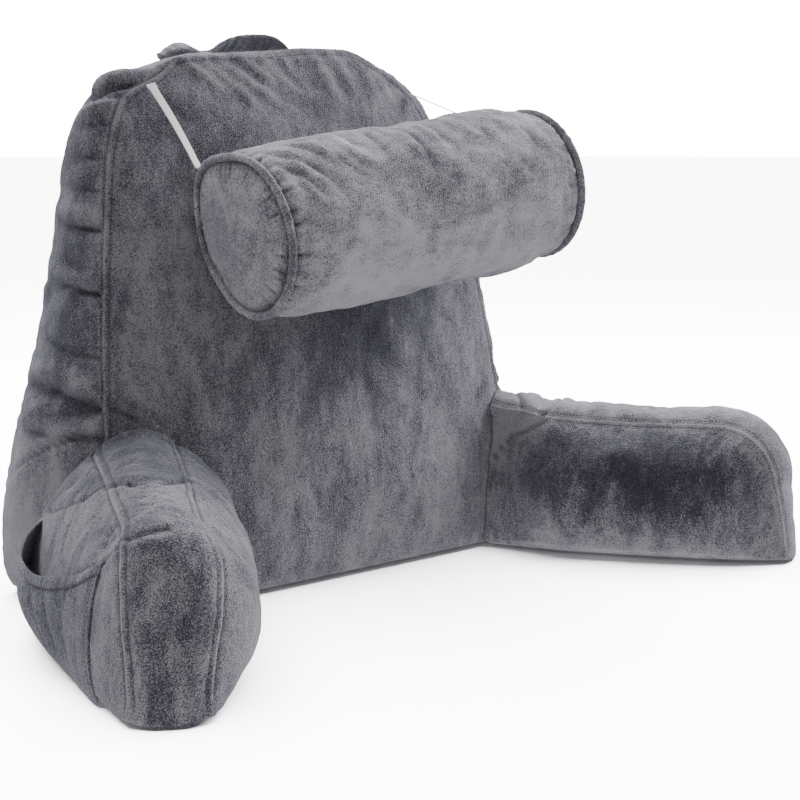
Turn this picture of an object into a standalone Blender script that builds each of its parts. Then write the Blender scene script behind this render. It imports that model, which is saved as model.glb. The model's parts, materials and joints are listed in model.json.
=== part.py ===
"""Reading pillow: a wedge-shaped back, two arms, a side pocket, a handle and a hung neck roll.

Metres, +Z up. The origin is the centre of the back's underside. The front faces -Y, and
+X is to the right of someone who faces the front.
"""

import math

import bmesh
import bpy
import numpy as np
from mathutils import Vector

GAP = 0.0005  # air between two pieces that touch
CUT_GAP = 0.0006  # air left where an arm is shaped by the back

# ---------------------------------------------------------------- back
# One row for each level: the front seams (x of the left and the right one, and their y), the
# rear seams, and how far each panel is crowned beyond its seams.
BACK_COLUMNS = (
    "z",
    "front_left",
    "front_right",
    "front_y",
    "rear_left",
    "rear_right",
    "rear_y",
    "front_crown",
    "side_crown",
    "rear_crown",
)
BACK_ROWS = (
    (0.000, -0.250, 0.248, -0.088, -0.290, 0.284, 0.090, 0.003, 0.010, 0.004),
    (0.030, -0.262, 0.257, -0.087, -0.296, 0.290, 0.094, 0.012, 0.018, 0.012),
    (0.080, -0.268, 0.258, -0.081, -0.296, 0.288, 0.092, 0.021, 0.023, 0.016),
    (0.140, -0.270, 0.257, -0.071, -0.287, 0.280, 0.088, 0.026, 0.024, 0.018),
    (0.190, -0.269, 0.253, -0.061, -0.275, 0.268, 0.084, 0.029, 0.023, 0.019),
    (0.260, -0.262, 0.245, -0.050, -0.256, 0.248, 0.078, 0.031, 0.021, 0.020),
    (0.330, -0.252, 0.236, -0.038, -0.242, 0.232, 0.073, 0.031, 0.021, 0.020),
    (0.400, -0.240, 0.220, -0.026, -0.228, 0.214, 0.068, 0.028, 0.021, 0.018),
    (0.450, -0.229, 0.202, -0.017, -0.216, 0.196, 0.064, 0.023, 0.021, 0.015),
    (0.485, -0.214, 0.185, -0.009, -0.204, 0.179, 0.060, 0.018, 0.019, 0.012),
    (0.503, -0.200, 0.173, -0.005, -0.192, 0.167, 0.058, 0.014, 0.014, 0.009),
    (0.512, -0.181, 0.162, -0.003, -0.176, 0.156, 0.057, 0.011, 0.010, 0.008),
    (0.522, -0.158, 0.148, -0.002, -0.154, 0.142, 0.055, 0.008, 0.008, 0.006),
    (0.532, -0.145, 0.130, 0.000, -0.138, 0.124, 0.044, 0.005, 0.006, 0.004),
    (0.539, -0.132, 0.116, 0.001, -0.126, 0.111, 0.025, 0.004, 0.004, 0.003),
    (0.543, -0.090, 0.108, 0.003, -0.086, 0.103, 0.018, 0.003, 0.003, 0.002),
    (0.547, -0.020, 0.099, 0.004, -0.018, 0.094, 0.014, 0.001, 0.001, 0.001),
    (0.551, 0.022, 0.086, 0.006, 0.024, 0.082, 0.012, 0.000, 0.000, 0.000),
)
BACK_LEVELS = (
    *(0.0, 0.012, 0.03, 0.055, 0.08, 0.11, 0.14, 0.165, 0.19, 0.215, 0.24, 0.265, 0.29),
    *(0.315, 0.34, 0.365, 0.39, 0.413, 0.436, 0.456, 0.472, 0.485, 0.495, 0.503, 0.508),
    *(0.512, 0.517, 0.522, 0.527, 0.532, 0.536, 0.539, 0.541, 0.543, 0.545, 0.547, 0.549, 0.551),
)
FRONT_STEPS = 22
SIDE_STEPS = 6
REAR_STEPS = 10
PANEL_FULLNESS = 2.6  # higher keeps a crowned panel fuller out to its seams

# Folds of the front panel, ridges (positive) and troughs (negative).
# Columns: from x, from z, to x, to z, half width, height.
FRONT_FOLDS = (
    (-0.135, 0.540, -0.020, 0.462, 0.012, 0.0050),
    (-0.098, 0.543, 0.012, 0.470, 0.010, 0.0042),
    (-0.060, 0.545, 0.045, 0.476, 0.010, 0.0046),
    (-0.022, 0.547, 0.072, 0.484, 0.009, 0.0040),
    (0.018, 0.548, 0.098, 0.480, 0.011, 0.0050),
    (0.060, 0.545, 0.128, 0.478, 0.011, 0.0042),
    (-0.118, 0.520, -0.040, 0.470, 0.011, -0.0040),
    (-0.160, 0.505, -0.095, 0.480, 0.012, -0.0035),
    (-0.235, 0.178, -0.195, 0.150, 0.012, -0.0050),
    (0.225, 0.190, 0.180, 0.150, 0.012, -0.0040),
)
# Folds of the gusset on each side. Columns: from y, from z, to y, to z, half width, height.
SIDE_FOLDS = (
    (-0.055, 0.205, 0.080, 0.238, 0.011, -0.0060),
    (-0.058, 0.190, 0.075, 0.190, 0.009, 0.0040),
    (-0.050, 0.222, 0.070, 0.268, 0.010, 0.0030),
    (-0.045, 0.304, 0.030, 0.300, 0.009, -0.0035),
    (-0.030, 0.370, 0.030, 0.372, 0.009, -0.0035),
    (-0.010, 0.505, 0.045, 0.486, 0.010, -0.0070),
    (-0.010, 0.522, 0.050, 0.512, 0.009, 0.0040),
)

# ---------------------------------------------------------------- arms
# Each arm has its own frame: "along" from the back to the arm's end, "across" from the inner
# side outwards, and up. Its foot is where the inner side meets the back's front panel.
# Columns: foot x, foot y, splay in degrees, side (-1 is the viewer's left).
ARMS = {
    "arm_left": (-0.205, -0.090, 29.6, -1.0),
    "arm_right": (0.205, -0.090, 34.2, 1.0),
}
ARM_ROOT = -0.060  # along, where the uncut arm starts inside the back
ARM_LENGTH = 0.330  # along, to the seams of the end
# Seam height along the top, as (along, height) for each arm.
TOP_SEAM = {
    "arm_left": ((-0.060, 0.168), (0.040, 0.166), (0.140, 0.160), (0.255, 0.148)),
    "arm_right": ((-0.060, 0.160), (0.030, 0.154), (0.100, 0.147), (0.255, 0.146)),
}
END_SEAM = ((0.332, 0.0), (0.329, 0.030), (0.325, 0.060), (0.319, 0.088))
END_CORNER_STEPS = 5  # round the corner between end and top
END_CORNER_DROP = 0.009  # the corner's shoulder, back from the end's last seam point
STRIP_CROWN_TOP = 0.018
STRIP_CROWN_END = 0.013
# Width between the two seams, as (at the end, at the back), at the top and on the floor.
STRIP_WIDTH_TOP = (0.065, 0.086)
STRIP_WIDTH_FLOOR = (0.072, 0.138)
FLARE_TURN = 0.045  # along, where the flared outer side turns in towards the back
FLARE_TURN_IN = 0.045
INNER_CROWN = 0.054
OUTER_CROWN = 0.024
# Where the strip is pieced and drawn in, as (along, half width, depth).
STRIP_TUCKS = {
    "arm_left": ((0.195, 0.012, 0.0045), (0.020, 0.014, 0.0050)),
    "arm_right": ((0.062, 0.013, 0.0055), (0.018, 0.014, 0.0070)),
}
PANEL_MIDDLE = 0.074  # height that the rings of a side panel close in on
BOTTOM_STEPS = 9
TOP_STEPS = 14
ROOT_STEPS = 4
PANEL_RINGS = (0.14, 0.42, 0.66, 0.84, 0.95)
STRIP_RINGS = (0.0, 0.12, 0.36, 0.64, 0.88, 1.0)

# ---------------------------------------------------------------- pocket
POCKET_FRONT = 0.275  # along
POCKET_BACK = 0.036
POCKET_FLOOR = 0.004
# Height of the mouth and how far it stands off, as (share from front to back, size).
POCKET_MOUTH = ((0.0, 0.124), (0.20, 0.108), (0.45, 0.090), (0.75, 0.088), (1.0, 0.108))
POCKET_GAPE = ((0.0, 0.0), (0.15, 0.003), (0.38, 0.017), (0.66, 0.022), (0.9, 0.013), (1.0, 0.0))
POCKET_THICKNESS = 0.002
POCKET_CLEAR = 0.0008
POCKET_LONG_STEPS = 30
POCKET_TALL_STEPS = 8
PLEATS = 5
PLEAT_DEPTH = 0.0022

# ---------------------------------------------------------------- neck roll
ROLL_CENTRE = (0.026, -0.1475, 0.387)
ROLL_YAW = 1.9  # degrees, right end forward
ROLL_TILT = 6.4  # degrees, right end up
ROLL_HALF = 0.186
# From each end seam inwards: (distance, radius).
ROLL_PROFILE = (
    (0.0000, 0.0712),
    (0.0036, 0.0718),
    (0.0066, 0.0752),
    (0.0130, 0.0778),
    (0.0300, 0.0803),
    (0.0600, 0.0828),
    (0.1100, 0.0842),
    (0.1860, 0.0846),
)
ROLL_CAP = ((0.90, 0.004), (0.62, 0.009), (0.28, 0.012))  # (share of radius, stands out)
ROLL_SIDES = 36
# The section is drawn out where an elastic pulls on it and flatter where it rests.
PULLED_AT = 136.0  # degrees from the front, over the top
PULLED_WIDTH = 26.0
PULLED_SHARE = (0.17, 0.06)  # at the left and the right end
SLACK_AT = 222.0
SLACK_WIDTH = 34.0
SLACK_SHARE = -0.09
PUCKERS = 13
PUCKER_DEPTH = 0.0014
PUCKER_REACH = 0.05  # how far they run in from the end seam
CORD_RADIUS = 0.0042
CORD_SIDES = 6

# ---------------------------------------------------------------- elastics and handle
STRAP_WIDTH = 0.008
STRAP_THICKNESS = 0.0012
STRAP_STEPS = 8
STRAP_BOW = 0.003
# Columns: the roll's end that it holds, x and z of its top end, how far that stands off the
# back, and the turn of its width from +X, in degrees, at the top and at the bottom.
STRAPS = {
    "strap_left": (-1, -0.172, 0.5105, 0.0012, -20.0, 10.0),
    "strap_right": (1, 0.166, 0.5030, 0.0040, 125.0, 125.0),
}
HANDLE_WIDTH = 0.026
HANDLE_THICKNESS = 0.006
HANDLE_STEPS = 26
HANDLE_Y = 0.044
HANDLE_LEAN = 16.0  # degrees that it leans to the rear where it lies on the gusset
# Middle of the strap along the top, as (x, z).
HANDLE_LINE = (
    (-0.146, 0.5340),
    (-0.134, 0.5396),
    (-0.118, 0.5450),
    (-0.102, 0.5425),
    (-0.088, 0.5382),
    (-0.074, 0.5407),
    (-0.052, 0.5490),
    (-0.026, 0.5560),
    (0.000, 0.5575),
    (0.024, 0.5520),
    (0.040, 0.5462),
    (0.052, 0.5414),
)

PLUSH = (0.115, 0.115, 0.138, 1.0)
PLUSH_LIGHT = (0.225, 0.222, 0.250, 1.0)
ELASTIC_WHITE = (0.84, 0.84, 0.82, 1.0)


# ---------------------------------------------------------------- helpers
def smooth_between(pairs, at):
    """Value at a place, on a smooth curve through (place, value) pairs."""
    xs = [pair[0] for pair in pairs]
    ys = [pair[1] for pair in pairs]
    at = min(max(at, xs[0]), xs[-1])
    k = min(max(int(np.searchsorted(xs, at)) - 1, 0), len(xs) - 2)
    span = xs[k + 1] - xs[k]
    slope = (ys[k + 1] - ys[k]) / span
    before = (ys[k] - ys[k - 1]) / (xs[k] - xs[k - 1]) if k > 0 else slope
    after = (ys[k + 2] - ys[k + 1]) / (xs[k + 2] - xs[k + 1]) if k + 2 < len(xs) else slope
    start = 0.0 if before * slope <= 0 else (before + slope) / 2
    end = 0.0 if after * slope <= 0 else (after + slope) / 2
    t = (at - xs[k]) / span
    return (
        (2 * t**3 - 3 * t**2 + 1) * ys[k]
        + (t**3 - 2 * t**2 + t) * span * start
        + (3 * t**2 - 2 * t**3) * ys[k + 1]
        + (t**3 - t**2) * span * end
    )


def plush(name, colour, roughness=0.9):
    material = bpy.data.materials.new(name)
    material.use_nodes = True
    shader = material.node_tree.nodes["Principled BSDF"]
    shader.inputs["Base Color"].default_value = colour
    shader.inputs["Roughness"].default_value = roughness
    shader.inputs["Metallic"].default_value = 0.0
    material.diffuse_color = colour
    return material


def loft(name, rings, material, collection, closed_ends=True):
    """A closed body through rings of equally many points; it ends in flat caps."""
    mesh = bpy.data.meshes.new(name)
    shape = bmesh.new()
    rows = [[shape.verts.new(point) for point in ring] for ring in rings]
    count = len(rows[0])
    pairs = list(zip(rows, rows[1:]))
    if not closed_ends:
        pairs.append((rows[-1], rows[0]))
    for low, high in pairs:
        for k in range(count):
            after = (k + 1) % count
            shape.faces.new((low[k], low[after], high[after], high[k]))
    if closed_ends:
        shape.faces.new(rows[0][::-1])
        shape.faces.new(rows[-1])
    bmesh.ops.recalc_face_normals(shape, faces=shape.faces)
    bmesh.ops.triangulate(shape, faces=shape.faces)
    shape.to_mesh(mesh)
    shape.free()
    mesh.materials.append(material)
    mesh.shade_smooth()
    piece = bpy.data.objects.new(name, mesh)
    collection.objects.link(piece)
    return piece


def fold_height(u, v, folds):
    """Sum of the ridges and troughs at a place on a panel."""
    total = 0.0
    for u0, v0, u1, v1, half_width, height in folds:
        run = Vector((u1 - u0, v1 - v0))
        place = Vector((u - u0, v - v0))
        share = place.dot(run) / run.length_squared
        aside = abs(run.x * place.y - run.y * place.x) / run.length
        if -0.15 < share < 1.15:
            taper = math.sin(math.pi * (share + 0.15) / 1.3) ** 0.7
            total += height * taper * math.exp(-((aside / half_width) ** 2))
    return total


# ---------------------------------------------------------------- back
def back_at(column, z):
    place = BACK_COLUMNS.index(column)
    return smooth_between([(row[0], row[place]) for row in BACK_ROWS], z)


def crowned(share):
    """Crown of a panel from seam (0) to seam (1), full in the middle."""
    return 1.0 - abs(2 * share - 1) ** PANEL_FULLNESS


def front_surface(x, z):
    """y of the front panel at a place."""
    left = back_at("front_left", z)
    right = back_at("front_right", z)
    share = (x - left) / (right - left)
    fold = fold_height(x, z, FRONT_FOLDS) * min(1.0, 8 * share * (1 - share))
    return back_at("front_y", z) - back_at("front_crown", z) * crowned(share) - fold


def back_ring(z):
    here = {column: back_at(column, z) for column in BACK_COLUMNS[1:]}
    ring = []
    for k in range(FRONT_STEPS):
        share = k / FRONT_STEPS
        x = here["front_left"] + share * (here["front_right"] - here["front_left"])
        ring.append((x, front_surface(x, z)))
    for k in range(SIDE_STEPS):
        share = k / SIDE_STEPS
        x = here["front_right"] + share * (here["rear_right"] - here["front_right"])
        y = here["front_y"] + share * (here["rear_y"] - here["front_y"])
        puff = here["side_crown"] + fold_height(y, z, SIDE_FOLDS)
        ring.append((x + puff * crowned(share), y))
    for k in range(REAR_STEPS):
        share = k / REAR_STEPS
        x = here["rear_right"] + share * (here["rear_left"] - here["rear_right"])
        ring.append((x, here["rear_y"] + here["rear_crown"] * crowned(share)))
    for k in range(SIDE_STEPS):
        share = k / SIDE_STEPS
        x = here["rear_left"] + share * (here["front_left"] - here["rear_left"])
        y = here["rear_y"] + share * (here["front_y"] - here["rear_y"])
        puff = here["side_crown"] + fold_height(y, z, SIDE_FOLDS)
        ring.append((x - puff * crowned(share), y))
    return [(x, y, z) for x, y in ring]


def make_back(material, collection):
    rings = [back_ring(z) for z in BACK_LEVELS]
    return loft("back_cushion", rings, material, collection)


def grown_copy(piece, by, collection):
    """A helper the size of the piece and a little more all round, used as a cutter."""
    mesh = piece.data.copy()
    shape = bmesh.new()
    shape.from_mesh(mesh)
    shape.normal_update()
    moves = [vertex.normal * by for vertex in shape.verts]
    for vertex, move in zip(shape.verts, moves):
        vertex.co += move
    shape.to_mesh(mesh)
    shape.free()
    cutter = bpy.data.objects.new(piece.name + "_cutter", mesh)
    cutter.hide_render = True
    cutter.display_type = "WIRE"
    collection.objects.link(cutter)
    return cutter


# ---------------------------------------------------------------- arms
def arm_to_world(name, along, across, up):
    foot_x, foot_y, splay, hand = ARMS[name]
    angle = math.radians(splay)
    x = foot_x + hand * (math.sin(angle) * along + math.cos(angle) * across)
    y = foot_y - math.cos(angle) * along + math.sin(angle) * across
    return (x, y, up)


def arm_outline(name):
    """Side view of the seams as (along, up), with which part of the strip each point is on."""
    points = []
    for k in range(BOTTOM_STEPS):
        share = k / BOTTOM_STEPS
        points.append((ARM_ROOT + share * (ARM_LENGTH - ARM_ROOT), 0.0, "bottom"))
    points += [(along, up, "end") for along, up in END_SEAM]
    first = Vector(END_SEAM[-1])
    last = Vector(TOP_SEAM[name][-1])
    bend = Vector((END_SEAM[-1][0] - END_CORNER_DROP, TOP_SEAM[name][-1][1]))
    for k in range(1, END_CORNER_STEPS):
        t = k / END_CORNER_STEPS
        place = (1 - t) ** 2 * first + 2 * t * (1 - t) * bend + t**2 * last
        points.append((place.x, place.y, "corner"))
    for k in range(TOP_STEPS):
        along = last.x + (ARM_ROOT - last.x) * k / TOP_STEPS
        points.append((along, smooth_between(TOP_SEAM[name], along), "top"))
    root_up = smooth_between(TOP_SEAM[name], ARM_ROOT)
    for k in range(ROOT_STEPS):
        points.append((ARM_ROOT, root_up * (1 - k / ROOT_STEPS), "root"))
    return points


def top_height(name, along):
    if along > TOP_SEAM[name][-1][0]:
        return TOP_SEAM[name][-1][1]
    return smooth_between(TOP_SEAM[name], along)


def panel_crown(name, along, up):
    """Fullness of a side panel, 0 at its seams and 1 in the middle."""
    middle = (ARM_ROOT - 0.10 + ARM_LENGTH) / 2
    long_share = min(abs(along - middle) / (ARM_LENGTH - middle), 1.0)
    tall_share = min(abs(2 * up / top_height(name, along) - 0.92) / 1.08, 1.0)
    return (1 - long_share**5) * (1 - tall_share**2.4)


def outer_side(name, along, up):
    """How far across the arm's outer side lies."""
    back_share = min(max((ARM_LENGTH - along) / ARM_LENGTH, 0.0), 1.25)
    top = STRIP_WIDTH_TOP[0] + back_share * (STRIP_WIDTH_TOP[1] - STRIP_WIDTH_TOP[0])
    floor = STRIP_WIDTH_FLOOR[0] + back_share * (STRIP_WIDTH_FLOOR[1] - STRIP_WIDTH_FLOOR[0])
    height_share = min(up / top_height(name, along), 1.0)
    across = floor + (top - floor) * height_share**1.5
    turn = max(FLARE_TURN - along, 0.0) / (FLARE_TURN - ARM_ROOT)
    across -= FLARE_TURN_IN * turn**2
    return across + OUTER_CROWN * panel_crown(name, along, up)


def inner_side(name, along, up):
    return -INNER_CROWN * panel_crown(name, along, up)


def strip_point(name, outline, k, share):
    """A point of the strip, share 0 on the inner seam and 1 on the outer one."""
    along, up, kind = outline[k]
    puff = 4 * share * (1 - share)
    puff = puff**0.8
    across = inner_side(name, along, up) * (1 - share) + outer_side(name, along, up) * share
    if kind == "top":
        up += STRIP_CROWN_TOP * puff
        for place, half_width, depth in STRIP_TUCKS[name]:
            up -= depth * math.exp(-(((along - place) / half_width) ** 2))
    elif kind == "end":
        along += STRIP_CROWN_END * puff
    elif kind == "corner":
        before = Vector(outline[k - 1][:2])
        after = Vector(outline[k + 1][:2])
        out = Vector((after.y - before.y, before.x - after.x)).normalized()
        along += out.x * STRIP_CROWN_TOP * puff
        up += out.y * STRIP_CROWN_TOP * puff
    return arm_to_world(name, along, across, up)


def panel_ring(name, outline, scale, side):
    middle = ((ARM_ROOT + ARM_LENGTH) / 2, PANEL_MIDDLE)
    ring = []
    for along, up, _ in outline:
        along = middle[0] + scale * (along - middle[0])
        up = middle[1] + scale * (up - middle[1])
        ring.append(arm_to_world(name, along, side(name, along, up), up))
    return ring


def make_arm(name, back_cutter, material, collection):
    outline = arm_outline(name)
    rings = [panel_ring(name, outline, scale, inner_side) for scale in PANEL_RINGS]
    for share in STRIP_RINGS:
        rings.append([strip_point(name, outline, k, share) for k in range(len(outline))])
    rings += [panel_ring(name, outline, scale, outer_side) for scale in reversed(PANEL_RINGS)]
    arm = loft(name, rings, material, collection)
    cut = arm.modifiers.new("fitted_to_back", "BOOLEAN")
    cut.operation = "DIFFERENCE"
    cut.solver = "EXACT"
    cut.object = back_cutter
    return arm


# ---------------------------------------------------------------- pocket
def make_pocket(material, collection):
    """A gathered patch on the outer side of the left arm, open at the top."""
    arm = "arm_left"
    sheets = ([], [])
    for i in range(POCKET_LONG_STEPS + 1):
        share = i / POCKET_LONG_STEPS
        along = POCKET_FRONT + share * (POCKET_BACK - POCKET_FRONT)
        mouth = smooth_between(POCKET_MOUTH, share)
        gape = smooth_between(POCKET_GAPE, share)
        pleat = PLEAT_DEPTH * math.sin(math.pi * share) ** 0.6
        pleat *= 1 - math.cos(2 * math.pi * PLEATS * share**1.15)
        for sheet, layer in zip(sheets, (0.0, POCKET_THICKNESS)):
            column = []
            for j in range(POCKET_TALL_STEPS + 1):
                rise = j / POCKET_TALL_STEPS
                up = POCKET_FLOOR + rise * (mouth - POCKET_FLOOR)
                off = POCKET_CLEAR + gape * rise**1.3 + pleat * math.sin(math.pi * min(rise, 0.8)) ** 0.5
                across = outer_side(arm, along, up) + off + layer
                column.append(arm_to_world(arm, along, across, up))
            sheet.append(column)
    inside, outside = sheets
    rings = [inside[i] + outside[i][::-1] for i in range(POCKET_LONG_STEPS + 1)]
    return loft("pocket", rings, material, collection)


# ---------------------------------------------------------------- neck roll
def roll_frame():
    yaw = math.radians(ROLL_YAW)
    tilt = math.radians(ROLL_TILT)
    axis = Vector(
        (math.cos(yaw) * math.cos(tilt), -math.sin(yaw) * math.cos(tilt), math.sin(tilt))
    )
    rear = Vector((0, 0, 1)).cross(axis).normalized()
    up = axis.cross(rear)
    return Vector(ROLL_CENTRE), axis, rear, up


def roll_shape(turn, end_share):
    """Share of the radius at an angle from the front over the top; end_share is -1 or 1 at an end."""
    angle = math.degrees(turn) % 360
    pulled = PULLED_SHARE[end_share > 0] * math.exp(-(((angle - PULLED_AT) / PULLED_WIDTH) ** 2))
    slack = SLACK_SHARE * math.exp(-(((angle - SLACK_AT) / SLACK_WIDTH) ** 2))
    return 1 + (0.25 + 0.75 * end_share**2) * (pulled + slack)


def roll_point(place, radius, turn, lift=0.0):
    """A point of the roll: place runs along its axis from the middle."""
    centre, axis, rear, up = roll_frame()
    length = radius * roll_shape(turn, max(-1.0, min(place / ROLL_HALF, 1.0))) + lift
    away = -math.cos(turn) * rear + math.sin(turn) * up
    return centre + place * axis + length * away


def roll_turns(sides=ROLL_SIDES):
    return [2 * math.pi * k / sides for k in range(sides)]


def make_roll(material, collection):
    seam_radius = ROLL_PROFILE[0][1]
    rings = []
    for share, out in reversed(ROLL_CAP):
        rings.append([roll_point(-ROLL_HALF - out, seam_radius * share, t) for t in roll_turns()])
    inwards = [row[0] for row in ROLL_PROFILE]
    stations = [-ROLL_HALF + s for s in inwards] + [0.05, 0.11]
    stations = sorted(set(stations + [ROLL_HALF - s for s in inwards] + [-0.045, -0.105]))
    for place in stations:
        inward = ROLL_HALF - abs(place)
        radius = smooth_between(ROLL_PROFILE, inward)
        pucker = PUCKER_DEPTH * math.sin(math.pi * min(inward / PUCKER_REACH, 1.0))
        ring = []
        for turn in roll_turns():
            wave = math.cos(PUCKERS * turn + math.copysign(0.9, place))
            ring.append(roll_point(place, radius + pucker * wave, turn))
        rings.append(ring)
    for share, out in ROLL_CAP:
        rings.append([roll_point(ROLL_HALF + out, seam_radius * share, t) for t in roll_turns()])
    return loft("neck_roll", rings, material, collection)


def make_piping(name, side, material, collection):
    """A corded seam round one end: a tube that follows the roll's section."""
    radius = ROLL_PROFILE[0][1]
    _, axis, _, _ = roll_frame()
    rings = []
    for turn in roll_turns():
        centre = roll_point(side * ROLL_HALF, radius, turn, CORD_RADIUS + GAP)
        inner = roll_point(side * ROLL_HALF, radius, turn)
        out = (centre - inner).normalized()
        ring = []
        for k in range(CORD_SIDES):
            angle = 2 * math.pi * k / CORD_SIDES
            ring.append(centre + CORD_RADIUS * (math.cos(angle) * out + math.sin(angle) * axis))
        rings.append(ring)
    return loft(name, rings, material, collection, closed_ends=False)


# ---------------------------------------------------------------- elastics and handle
def ribbon(name, line, widths, thickness, material, collection):
    """A flat strip along a line; widths are its half-width vectors at each point."""
    rings = []
    for k, (point, half) in enumerate(zip(line, widths)):
        ahead = line[min(k + 1, len(line) - 1)] - line[max(k - 1, 0)]
        face = ahead.cross(half).normalized() * (thickness / 2)
        low = point - face
        high = point + face
        rings.append([low - half, low + half, high + half, high - half])
    return loft(name, rings, material, collection)


def make_strap(name, material, collection):
    """An elastic from the back's top corner to the drawn-out corner of the roll's end."""
    end, top_x, top_z, top_off, turn_top, turn_bottom = STRAPS[name]
    top = Vector((top_x, front_surface(top_x, top_z) - GAP - top_off, top_z))
    lift = 2 * CORD_RADIUS + 3 * GAP
    corner = math.radians(PULLED_AT)
    bottom = roll_point(end * ROLL_HALF, ROLL_PROFILE[0][1], corner, lift)
    run = (bottom - top).normalized()
    line = []
    widths = []
    for k in range(STRAP_STEPS + 1):
        share = k / STRAP_STEPS
        line.append(top.lerp(bottom, share) - Vector((0, STRAP_BOW, 0)) * math.sin(math.pi * share))
        turn = math.radians(turn_top + share * (turn_bottom - turn_top))
        across = Vector((math.cos(turn), math.sin(turn), 0.0))
        across = (across - across.dot(run) * run).normalized()
        widths.append(across * STRAP_WIDTH / 2)
    return ribbon(name, line, widths, STRAP_THICKNESS, material, collection)


def make_handle(material, collection):
    line = []
    first = HANDLE_LINE[0][0]
    last = HANDLE_LINE[-1][0]
    for k in range(HANDLE_STEPS + 1):
        x = first + (last - first) * k / HANDLE_STEPS
        line.append(Vector((x, HANDLE_Y, smooth_between(HANDLE_LINE, x))))
    lowest = min(point.z for point in line)
    highest = max(point.z for point in line)
    widths = []
    for point in line:
        lean = math.radians(HANDLE_LEAN) * (highest - point.z) / (highest - lowest)
        widths.append(Vector((0, math.cos(lean), -math.sin(lean))) * HANDLE_WIDTH / 2)
    return ribbon("handle", line, widths, HANDLE_THICKNESS, material, collection)


def main():
    for thing in list(bpy.data.objects):
        bpy.data.objects.remove(thing, do_unlink=True)
    parts = bpy.data.collections.new("reading_pillow")
    cutters = bpy.data.collections.new("cutters")
    bpy.context.scene.collection.children.link(parts)
    bpy.context.scene.collection.children.link(cutters)
    grey = plush("plush_grey", PLUSH)
    light = plush("plush_light", PLUSH_LIGHT)
    white = plush("elastic_white", ELASTIC_WHITE, 0.6)
    back = make_back(grey, parts)
    back_cutter = grown_copy(back, CUT_GAP, cutters)
    for name in ARMS:
        make_arm(name, back_cutter, grey, parts)
    make_pocket(grey, parts)
    make_roll(light, parts)
    make_piping("piping_left", -1, grey, parts)
    make_piping("piping_right", 1, grey, parts)
    for name in STRAPS:
        make_strap(name, white, parts)
    make_handle(grey, parts)


main()
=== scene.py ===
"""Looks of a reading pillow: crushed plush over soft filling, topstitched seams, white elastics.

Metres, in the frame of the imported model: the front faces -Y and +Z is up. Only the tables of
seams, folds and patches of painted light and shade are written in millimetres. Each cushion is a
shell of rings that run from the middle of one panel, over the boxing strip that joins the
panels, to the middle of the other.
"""

import json
import math

import bmesh
import bpy
import numpy as np
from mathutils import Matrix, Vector
from mathutils.bvhtree import BVHTree
from mathutils.kdtree import KDTree

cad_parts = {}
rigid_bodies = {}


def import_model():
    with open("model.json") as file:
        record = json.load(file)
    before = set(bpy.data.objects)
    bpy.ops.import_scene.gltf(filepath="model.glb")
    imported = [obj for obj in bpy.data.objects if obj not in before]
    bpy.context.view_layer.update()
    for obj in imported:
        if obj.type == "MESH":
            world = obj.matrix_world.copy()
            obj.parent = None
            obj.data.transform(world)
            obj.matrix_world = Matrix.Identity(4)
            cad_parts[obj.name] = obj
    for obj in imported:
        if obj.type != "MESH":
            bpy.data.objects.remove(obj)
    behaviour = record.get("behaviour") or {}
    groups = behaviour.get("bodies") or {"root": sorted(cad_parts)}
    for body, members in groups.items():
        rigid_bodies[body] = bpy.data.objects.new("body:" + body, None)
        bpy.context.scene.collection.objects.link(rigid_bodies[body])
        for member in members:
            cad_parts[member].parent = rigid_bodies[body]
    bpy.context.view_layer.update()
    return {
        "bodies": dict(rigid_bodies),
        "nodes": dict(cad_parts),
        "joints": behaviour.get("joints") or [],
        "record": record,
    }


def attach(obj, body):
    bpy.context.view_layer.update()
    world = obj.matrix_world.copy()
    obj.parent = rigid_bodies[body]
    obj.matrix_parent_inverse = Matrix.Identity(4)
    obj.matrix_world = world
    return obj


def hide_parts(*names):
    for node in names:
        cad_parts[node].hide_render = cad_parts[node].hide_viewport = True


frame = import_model()

# ---------------------------------------------------------------- camera
CAMERA_PLACE = (-1.168, -1.512, 0.480)
CAMERA_TURN = (81.022, 0.0, -41.271)  # degrees
CAMERA_LENS = 81.0
CAMERA_SENSOR = 36.0


def place_camera():
    data = bpy.data.cameras.new("camera")
    data.lens = CAMERA_LENS
    data.sensor_width = CAMERA_SENSOR
    camera = bpy.data.objects.new("camera", data)
    bpy.context.scene.collection.objects.link(camera)
    camera.location = CAMERA_PLACE
    camera.rotation_euler = [math.radians(turn) for turn in CAMERA_TURN]
    bpy.context.scene.camera = camera


place_camera()


# ---------------------------------------------------------------- curves and waves
def smooth_table(pairs, at):
    """Values on a smooth curve through (place, value) pairs."""
    xs, ys = (np.array(column, float) for column in zip(*pairs))
    at = np.clip(at, xs[0], xs[-1])
    k = np.clip(np.searchsorted(xs, at) - 1, 0, len(xs) - 2)
    slopes = np.diff(ys) / np.diff(xs)
    here = slopes[k]
    before = slopes[np.maximum(k - 1, 0)]
    after = slopes[np.minimum(k + 1, len(slopes) - 1)]
    start = np.where(before * here <= 0, 0.0, (before + here) / 2)
    end = np.where(after * here <= 0, 0.0, (after + here) / 2)
    span = xs[k + 1] - xs[k]
    t = (at - xs[k]) / span
    return (
        (2 * t**3 - 3 * t**2 + 1) * ys[k]
        + (t**3 - 2 * t**2 + t) * span * start
        + (3 * t**2 - 2 * t**3) * ys[k + 1]
        + (t**3 - t**2) * span * end
    )


def run_lengths(points, closed=False):
    ahead = np.roll(points, -1, axis=0) if closed else points[1:]
    steps = np.linalg.norm(ahead - points[: len(ahead)], axis=1)
    return np.concatenate([[0.0], np.cumsum(steps)])


def places_on(line, runs, at):
    """Points of a line at some lengths along it, with its own lengths in runs."""
    return np.stack([np.interp(at, runs, column) for column in line.T], axis=1)


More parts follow.
